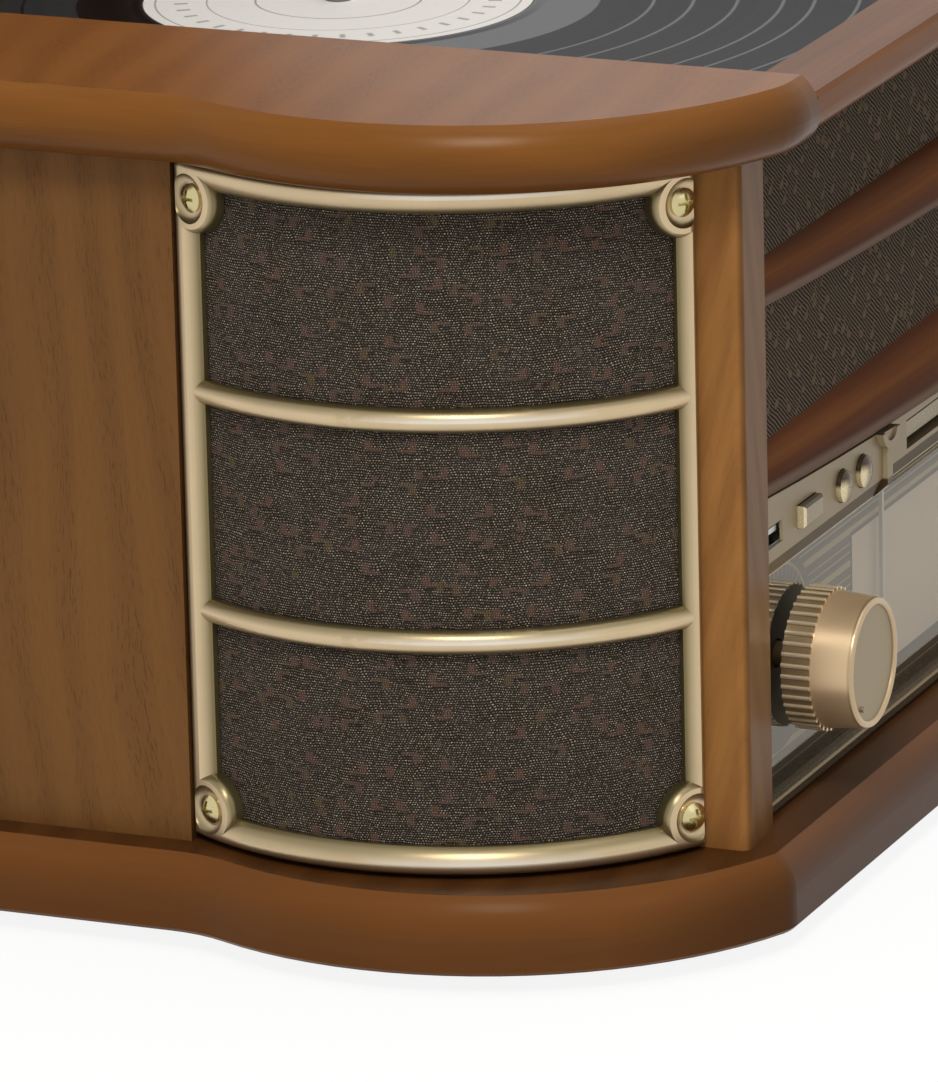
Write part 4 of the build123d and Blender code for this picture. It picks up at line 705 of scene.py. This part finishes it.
def side_cloth():
    """Coarse weave round the curved speaker corner, with sparse coloured flecks."""
    row_pitch, knot_pitch, line_pitch = 0.6, 0.66, 0.55
    f = Finish("side_cloth")
    from_x = f.difference(f.absolute(f.x), GRILLE[0])
    from_y = f.difference(f.y, GRILLE[1])
    u = f.product(f.math("ARCTAN2", from_y, from_x), GRILLE_RADIUS)
    v = f.z
    shake = f.noise(f.join(u, v), 0.12, detail=2)
    u_shaken = f.math("MULTIPLY_ADD", shake, 3.0, u)
    v_shaken = f.math("MULTIPLY_ADD", shake, -2.0, v)
    row = f.product(v_shaken, 1 / row_pitch)
    shift = f.product(f.math("FLOOR", row), 0.5)
    across = zigzag(f, f.math("MULTIPLY_ADD", u_shaken, 1 / knot_pitch, shift))
    upwards = zigzag(f, row)
    away = f.vector("LENGTH", f.join(f.product(across, 0.8), f.product(upwards, 1.05)))
    knot = f.rest(f.step(away, 0.12, 0.36))
    uneven = f.noise(f.join(u, v), 2.3, detail=2, rough=0.8)
    lit = f.step(uneven, 0.46, 0.66)
    cloud = f.noise(f.join(u, v), 0.09, detail=3)
    dark = f.mix(f.step(cloud, 0.35, 0.65), tone(34, 27, 21), tone(42, 36, 33))
    thread = f.mix(lit, tone(84, 72, 60), tone(240, 222, 194))
    base = f.mix(f.product(knot, f.math("MULTIPLY_ADD", lit, 0.35, 0.6)), dark, thread)
    a, b, pick_b, pick_c = fleck_cells(f, u, v, 8.0)
    bar_side = f.math("MULTIPLY_ADD", f.math("GREATER_THAN", pick_b, 0.5), 2.2, -1.1)
    head = slab(f, a, b, 0.0, 0.0, 0.95, 1.25, 0.3)
    tail = slab(f, a, f.difference(b, bar_side), 1.7, 0.0, 1.9, 0.4, 0.15)
    mark = f.product(f.most(head, tail), f.step(pick_c, 0.06, 0.12))
    fleck_dark = f.ramp(
        pick_b, (0.0, tone(58, 42, 34)), (0.6, tone(54, 42, 38)), (1.0, tone(54, 44, 30))
    )
    fleck_lit = f.ramp(
        pick_b, (0.0, tone(128, 98, 82)), (0.6, tone(122, 98, 88)), (1.0, tone(124, 106, 78))
    )
    lines = zigzag(f, f.product(u_shaken, 1 / line_pitch))
    woven = f.math("MULTIPLY_ADD", lines, 1.4, f.product(knot, 0.4), clamp=True)
    spot = f.mix(woven, fleck_dark, fleck_lit)
    shadow = slab(f, a, f.difference(b, bar_side), 1.7, -0.9, 2.1, 0.5, 0.3)
    base = f.mix(f.product(shadow, 0.45), base, tone(26, 22, 22))
    colour = f.mix(f.product(mark, 0.74), base, spot)
    height = f.math("MULTIPLY_ADD", mark, 0.4, knot)
    return f.surface(colour=colour, rough=0.8, normal=f.bump(height, 0.4, 0.12), shine=0.12)


def front_cloth():
    """Fine twill with raised drop-shaped flecks, each with a thin stem."""
    twill_pitch, cross_pitch = 1.6, 0.5
    f = Finish("front_cloth")
    u, v = f.x, f.z
    shake = f.noise(f.join(u, v), 0.12, detail=2)
    lean = f.math("MULTIPLY_ADD", v, 1.3, f.math("MULTIPLY_ADD", shake, 2.5, u))
    twill = f.math("SINE", f.product(lean, 2 * pi / twill_pitch))
    cross = f.math("SINE", f.product(f.math("MULTIPLY_ADD", u, -0.3, v), 2 * pi / cross_pitch))
    weave = f.math("MULTIPLY_ADD", cross, 0.35, twill)
    uneven = f.noise(f.join(u, v), 1.3, detail=2)
    base = f.mix(f.step(weave, -0.7, 1.1), tone(15, 12, 9), tone(108, 92, 76))
    point = f.product(f.step(weave, 0.6, 1.2), f.step(uneven, 0.6, 0.75))
    base = f.mix(f.product(point, 0.7), base, tone(150, 136, 112))
    a, b, pick_b, pick_c = fleck_cells(f, u, v, 6.6)
    lean_a = f.math("MULTIPLY_ADD", b, -0.3, a)
    width = f.math("MULTIPLY_ADD", b, -0.35, 1.5)
    drop = f.vector("LENGTH", f.join(f.math("DIVIDE", lean_a, width), f.product(b, 1 / 1.3)))
    head = f.rest(f.step(drop, 0.75, 1.05))
    stem = slab(f, lean_a, b, 0.7, 1.7, 0.35, 1.2, 0.15)
    mark = f.product(f.most(head, stem), f.step(pick_c, 0.06, 0.12))
    rim = f.product(f.between(drop, 0.8, 1.25, 0.12), f.step(pick_c, 0.06, 0.12))
    spot = f.ramp(
        pick_b, (0.0, tone(112, 95, 78)), (0.5, tone(108, 86, 73)), (1.0, tone(104, 94, 68))
    )
    spot = f.mix(f.step(cross, -0.5, 0.5), f.mix(0.35, spot, tone(50, 40, 32)), spot)
    base = f.mix(f.product(rim, 0.4), base, tone(26, 20, 17))
    colour = f.mix(f.product(mark, 0.72), base, spot)
    height = f.math("MULTIPLY_ADD", mark, 1.6, f.product(weave, 0.4))
    return f.surface(colour=colour, rough=0.82, normal=f.bump(height, 0.5, 0.14), shine=0.06)


# ------------------------------------------------------------------ dial
def dial():
    """Printed plate behind the dial window: stripes, pale scale field, knob rings with ticks."""
    stripe_pitch, stripe_end, stripe_gap = 8.2, 171.0, 24.8
    ring_inner, ring_outer, tick_inner = 21.4, 22.3, 19.0
    field_half, field_low, field_high, field_rim = 95.2, 33.5, 72.6, 1.2
    f = Finish("dial_print")
    side = f.absolute(f.x)
    across, upwards = f.difference(side, KNOB[0]), f.difference(f.z, KNOB[1])
    from_knob = f.vector("LENGTH", f.join(across, upwards))
    angle = f.math("ARCTAN2", upwards, across)
    period = f.math("FRACT", f.math("MULTIPLY_ADD", f.z, 1 / stripe_pitch, 0.12))
    wide = f.between(period, 0.08, 0.28, 0.012)
    thin = f.most(f.between(period, 0.5, 0.55, 0.01), f.between(period, 0.76, 0.81, 0.01))
    dark_line = f.between(period, 0.4, 0.45, 0.02)
    base = f.mix(f.noise(f.point, 0.02, detail=1), tone(70, 62, 50), tone(80, 71, 56))
    striped = f.mix(thin, base, tone(138, 126, 102))
    striped = f.mix(wide, striped, tone(146, 130, 96))
    striped = f.mix(f.product(dark_line, 0.6), striped, tone(42, 38, 32))
    outside = f.step(from_knob, stripe_gap, stripe_gap + 0.2)
    beside = f.rest(f.step(side, stripe_end, stripe_end + 0.2))
    colour = f.mix(f.product(outside, beside), base, striped)
    ring = f.between(from_knob, ring_inner, ring_outer, 0.08)
    open_ring = f.rest(f.between(angle, -2.2, -0.95, 0.01))
    colour = f.mix(f.product(ring, open_ring), colour, tone(136, 126, 102))
    tick = f.between(f.math("FRACT", f.product(angle, 24 / pi)), 0.42, 0.58, 0.03)
    tick = f.product(tick, f.between(from_knob, tick_inner, ring_inner, 0.08))
    colour = f.mix(f.product(tick, open_ring), colour, tone(132, 122, 100))
    field = f.product(
        f.rest(f.step(side, field_half, field_half + 0.2)),
        f.between(f.z, field_low, field_high, 0.1),
    )
    rim = f.product(
        f.rest(f.step(side, field_half + field_rim, field_half + field_rim + 0.2)),
        f.between(f.z, field_low - field_rim, field_high + field_rim, 0.1),
    )
    colour = f.mix(rim, colour, tone(64, 58, 50))
    pale = f.mix(f.noise(f.point, 0.03, detail=2), tone(190, 174, 155), tone(178, 163, 145))
    colour = f.mix(field, colour, pale)
    fine = f.noise(f.point, 3.0, detail=2)
    return f.surface(colour=colour, rough=0.5, shine=0.04, normal=f.bump(fine, 0.1, 0.02))


def clear_window():
    """Clear sheet that mirrors more at flat angles, on its outer face only."""
    f = Finish("dial_window")
    dust = f.noise(f.point, 0.4, detail=4)
    fresnel = f.add("ShaderNodeFresnel")
    fresnel.inputs["IOR"].default_value = 1.46
    through = f.add("ShaderNodeBsdfTransparent")
    through.inputs["Color"].default_value = (0.96, 0.96, 0.95, 1)
    mirror = f.add("ShaderNodeBsdfGlossy")
    mirror.inputs["Color"].default_value = (1.0, 0.95, 0.86, 1)
    f.put(mirror.inputs["Roughness"], f.math("MULTIPLY_ADD", dust, 0.06, 0.01))
    back = f.add("ShaderNodeNewGeometry").outputs["Backfacing"]
    mixed = f.add("ShaderNodeMixShader")
    share = f.product(fresnel.outputs[0], f.math("MULTIPLY_ADD", back, -0.95, 0.95))
    f.put(mixed.inputs[0], share)
    f.put(mixed.inputs[1], through.outputs[0])
    f.put(mixed.inputs[2], mirror.outputs[0])
    out = f.add("ShaderNodeOutputMaterial")
    f.put(out.inputs[0], mixed.outputs[0])
    return f.material


# ------------------------------------------------------------------ record
def vinyl():
    """Grooved black record with smoother bands between the tracks and a printed centre label."""
    last_groove, run_out, label_radius = 146.2, (50.2, 67.0), 49.8
    track_gaps = (133.0, 121.6, 113.7, 102.0, 90.8, 80.7)
    label_rings, label_strokes = ((46.6, 47.1), (21.0, 21.6), (33.5, 33.9)), (38.5, 42.0)
    f = Finish("record_vinyl")
    from_x = f.difference(f.x, RECORD[0])
    from_y = f.difference(f.y, RECORD[1])
    radius = f.vector("LENGTH", f.join(from_x, from_y))
    groove = f.noise(f.join(f.product(radius, 3.2), 0.0), detail=4, rough=0.75)
    loud = f.noise(f.join(f.product(radius, 0.28), 4.0), detail=2)
    smooth = f.step(radius, last_groove, last_groove + 0.3)
    for middle in track_gaps:
        smooth = f.most(smooth, f.between(radius, middle - 0.45, middle + 0.45, 0.12))
    smooth = f.most(smooth, f.between(radius, *run_out, 0.2))
    cut = f.rest(smooth)
    grey = f.product(cut, f.math("MULTIPLY_ADD", loud, 0.5, 0.3))
    vinyl_tone = f.mix(grey, tone(22, 22, 23), tone(66, 66, 67))
    label = f.rest(f.step(radius, label_radius, label_radius + 0.2))
    angle = f.math("ARCTAN2", from_y, from_x)
    paper_tone = f.mix(f.noise(f.point, 0.5, detail=3), tone(253, 250, 245), tone(246, 242, 236))
    arcs = f.between(radius, *label_rings[0], 0.08)
    for ring in label_rings[1:]:
        arcs = f.most(arcs, f.between(radius, *ring, 0.08))
    spoke = f.between(f.math("FRACT", f.product(angle, 18 / pi)), 0.4, 0.6, 0.04)
    spoke = f.product(spoke, f.between(radius, *label_strokes, 0.15))
    print_share = f.most(arcs, spoke)
    label_tone = f.mix(f.product(print_share, 0.6), paper_tone, tone(110, 106, 104))
    colour = f.mix(label, vinyl_tone, label_tone)
    rough = f.math("MULTIPLY_ADD", cut, 0.2, 0.14)
    rough = f.math("MULTIPLY_ADD", label, 0.35, rough)
    grooved = f.product(cut, f.rest(label))
    height = f.product(groove, grooved)
    shine = f.math("MULTIPLY_ADD", grooved, -0.085, 0.115)
    return f.surface(colour=colour, rough=rough, shine=shine, normal=f.bump(height, 0.35, 0.05))


# ------------------------------------------------------------------ dressing the CAD nodes
side_weave = side_cloth()
front_weave = front_cloth()
finishes = {
    "top_board": top_wood,
    "base_plinth": base_wood,
    "side_panel": side_wood,
    "post": post_wood,
    "back_panel": back_wood,
    "well_side": well_wood,
    "front_rail": rail_wood,
    "rear_rail": top_wood,
    "front_bar_upper": bar_upper,
    "front_bar_lower": bar_lower,
    "lid": lid_wood,
    "cloth_board": front_weave,
    "grille_cloth": side_weave,
    "grille_frame": frame_gold,
    "grille_screws": brass,
    "baffle": back_wood,
    "speaker": paper,
    "control_strip": strip_gold,
    "usb_socket": steel,
    "cd_tray": button_gold,
    "cd_loader": black,
    "dial_trim": trim_gold,
    "dial_window": clear_window(),
    "dial_plate": dial(),
    "dial_pointer": pointer,
    "volume_knob": knob_gold,
    "tuning_knob": knob_gold,
    "volume_control": steel,
    "tuning_control": steel,
    "circuit_boards": circuit,
    "rear_socket_panel": black,
    "deck_plate": deck_black,
    "platter": cast,
    "platter_motor": steel,
    "slip_mat": mat_felt(),
    "record": vinyl(),
    "tonearm_base": black,
    "tonearm_yoke": arm_silver,
    "tonearm": arm_silver,
    "cartridge": black,
    "lift_lever": arm_silver,
    "speed_switch": black,
    "hinge": hinge_steel,
    "feet": rubber,
}


def finish_of(name):
    """Finish of the longest entry that the node's name starts with."""
    if name.endswith("_button"):
        return button_gold
    return finishes[max((key for key in finishes if name.startswith(key)), key=len)]


for name, obj in nodes.items():
    obj.data.materials.clear()
    obj.data.materials.append(finish_of(name))

# width of each softened edge, in millimetres
bevels = {
    "side_panel_left": 0.4, "side_panel_right": 0.4, "post_left": 0.3, "post_right": 0.3,
    "back_panel": 0.4, "well_side_left": 0.4, "well_side_right": 0.4, "rear_rail": 0.4,
    "control_strip": 0.25, "power_button": 0.45, "cd_tray": 0.3, "dial_trim": 0.2,
    "deck_plate": 0.4, "rear_socket_panel": 0.3, "cartridge": 0.4, "lid": 0.5,
    "tonearm_base": 0.4, "tonearm_yoke": 0.3, "lift_lever": 0.2, "speed_switch": 0.3,
    "usb_socket": 0.12,
}
for name, width in bevels.items():
    soften = nodes[name].modifiers.new("soft_edge", "BEVEL")
    soften.width = width * MM
    soften.segments = 2
    soften.limit_method = "ANGLE"
    soften.angle_limit = radians(40)
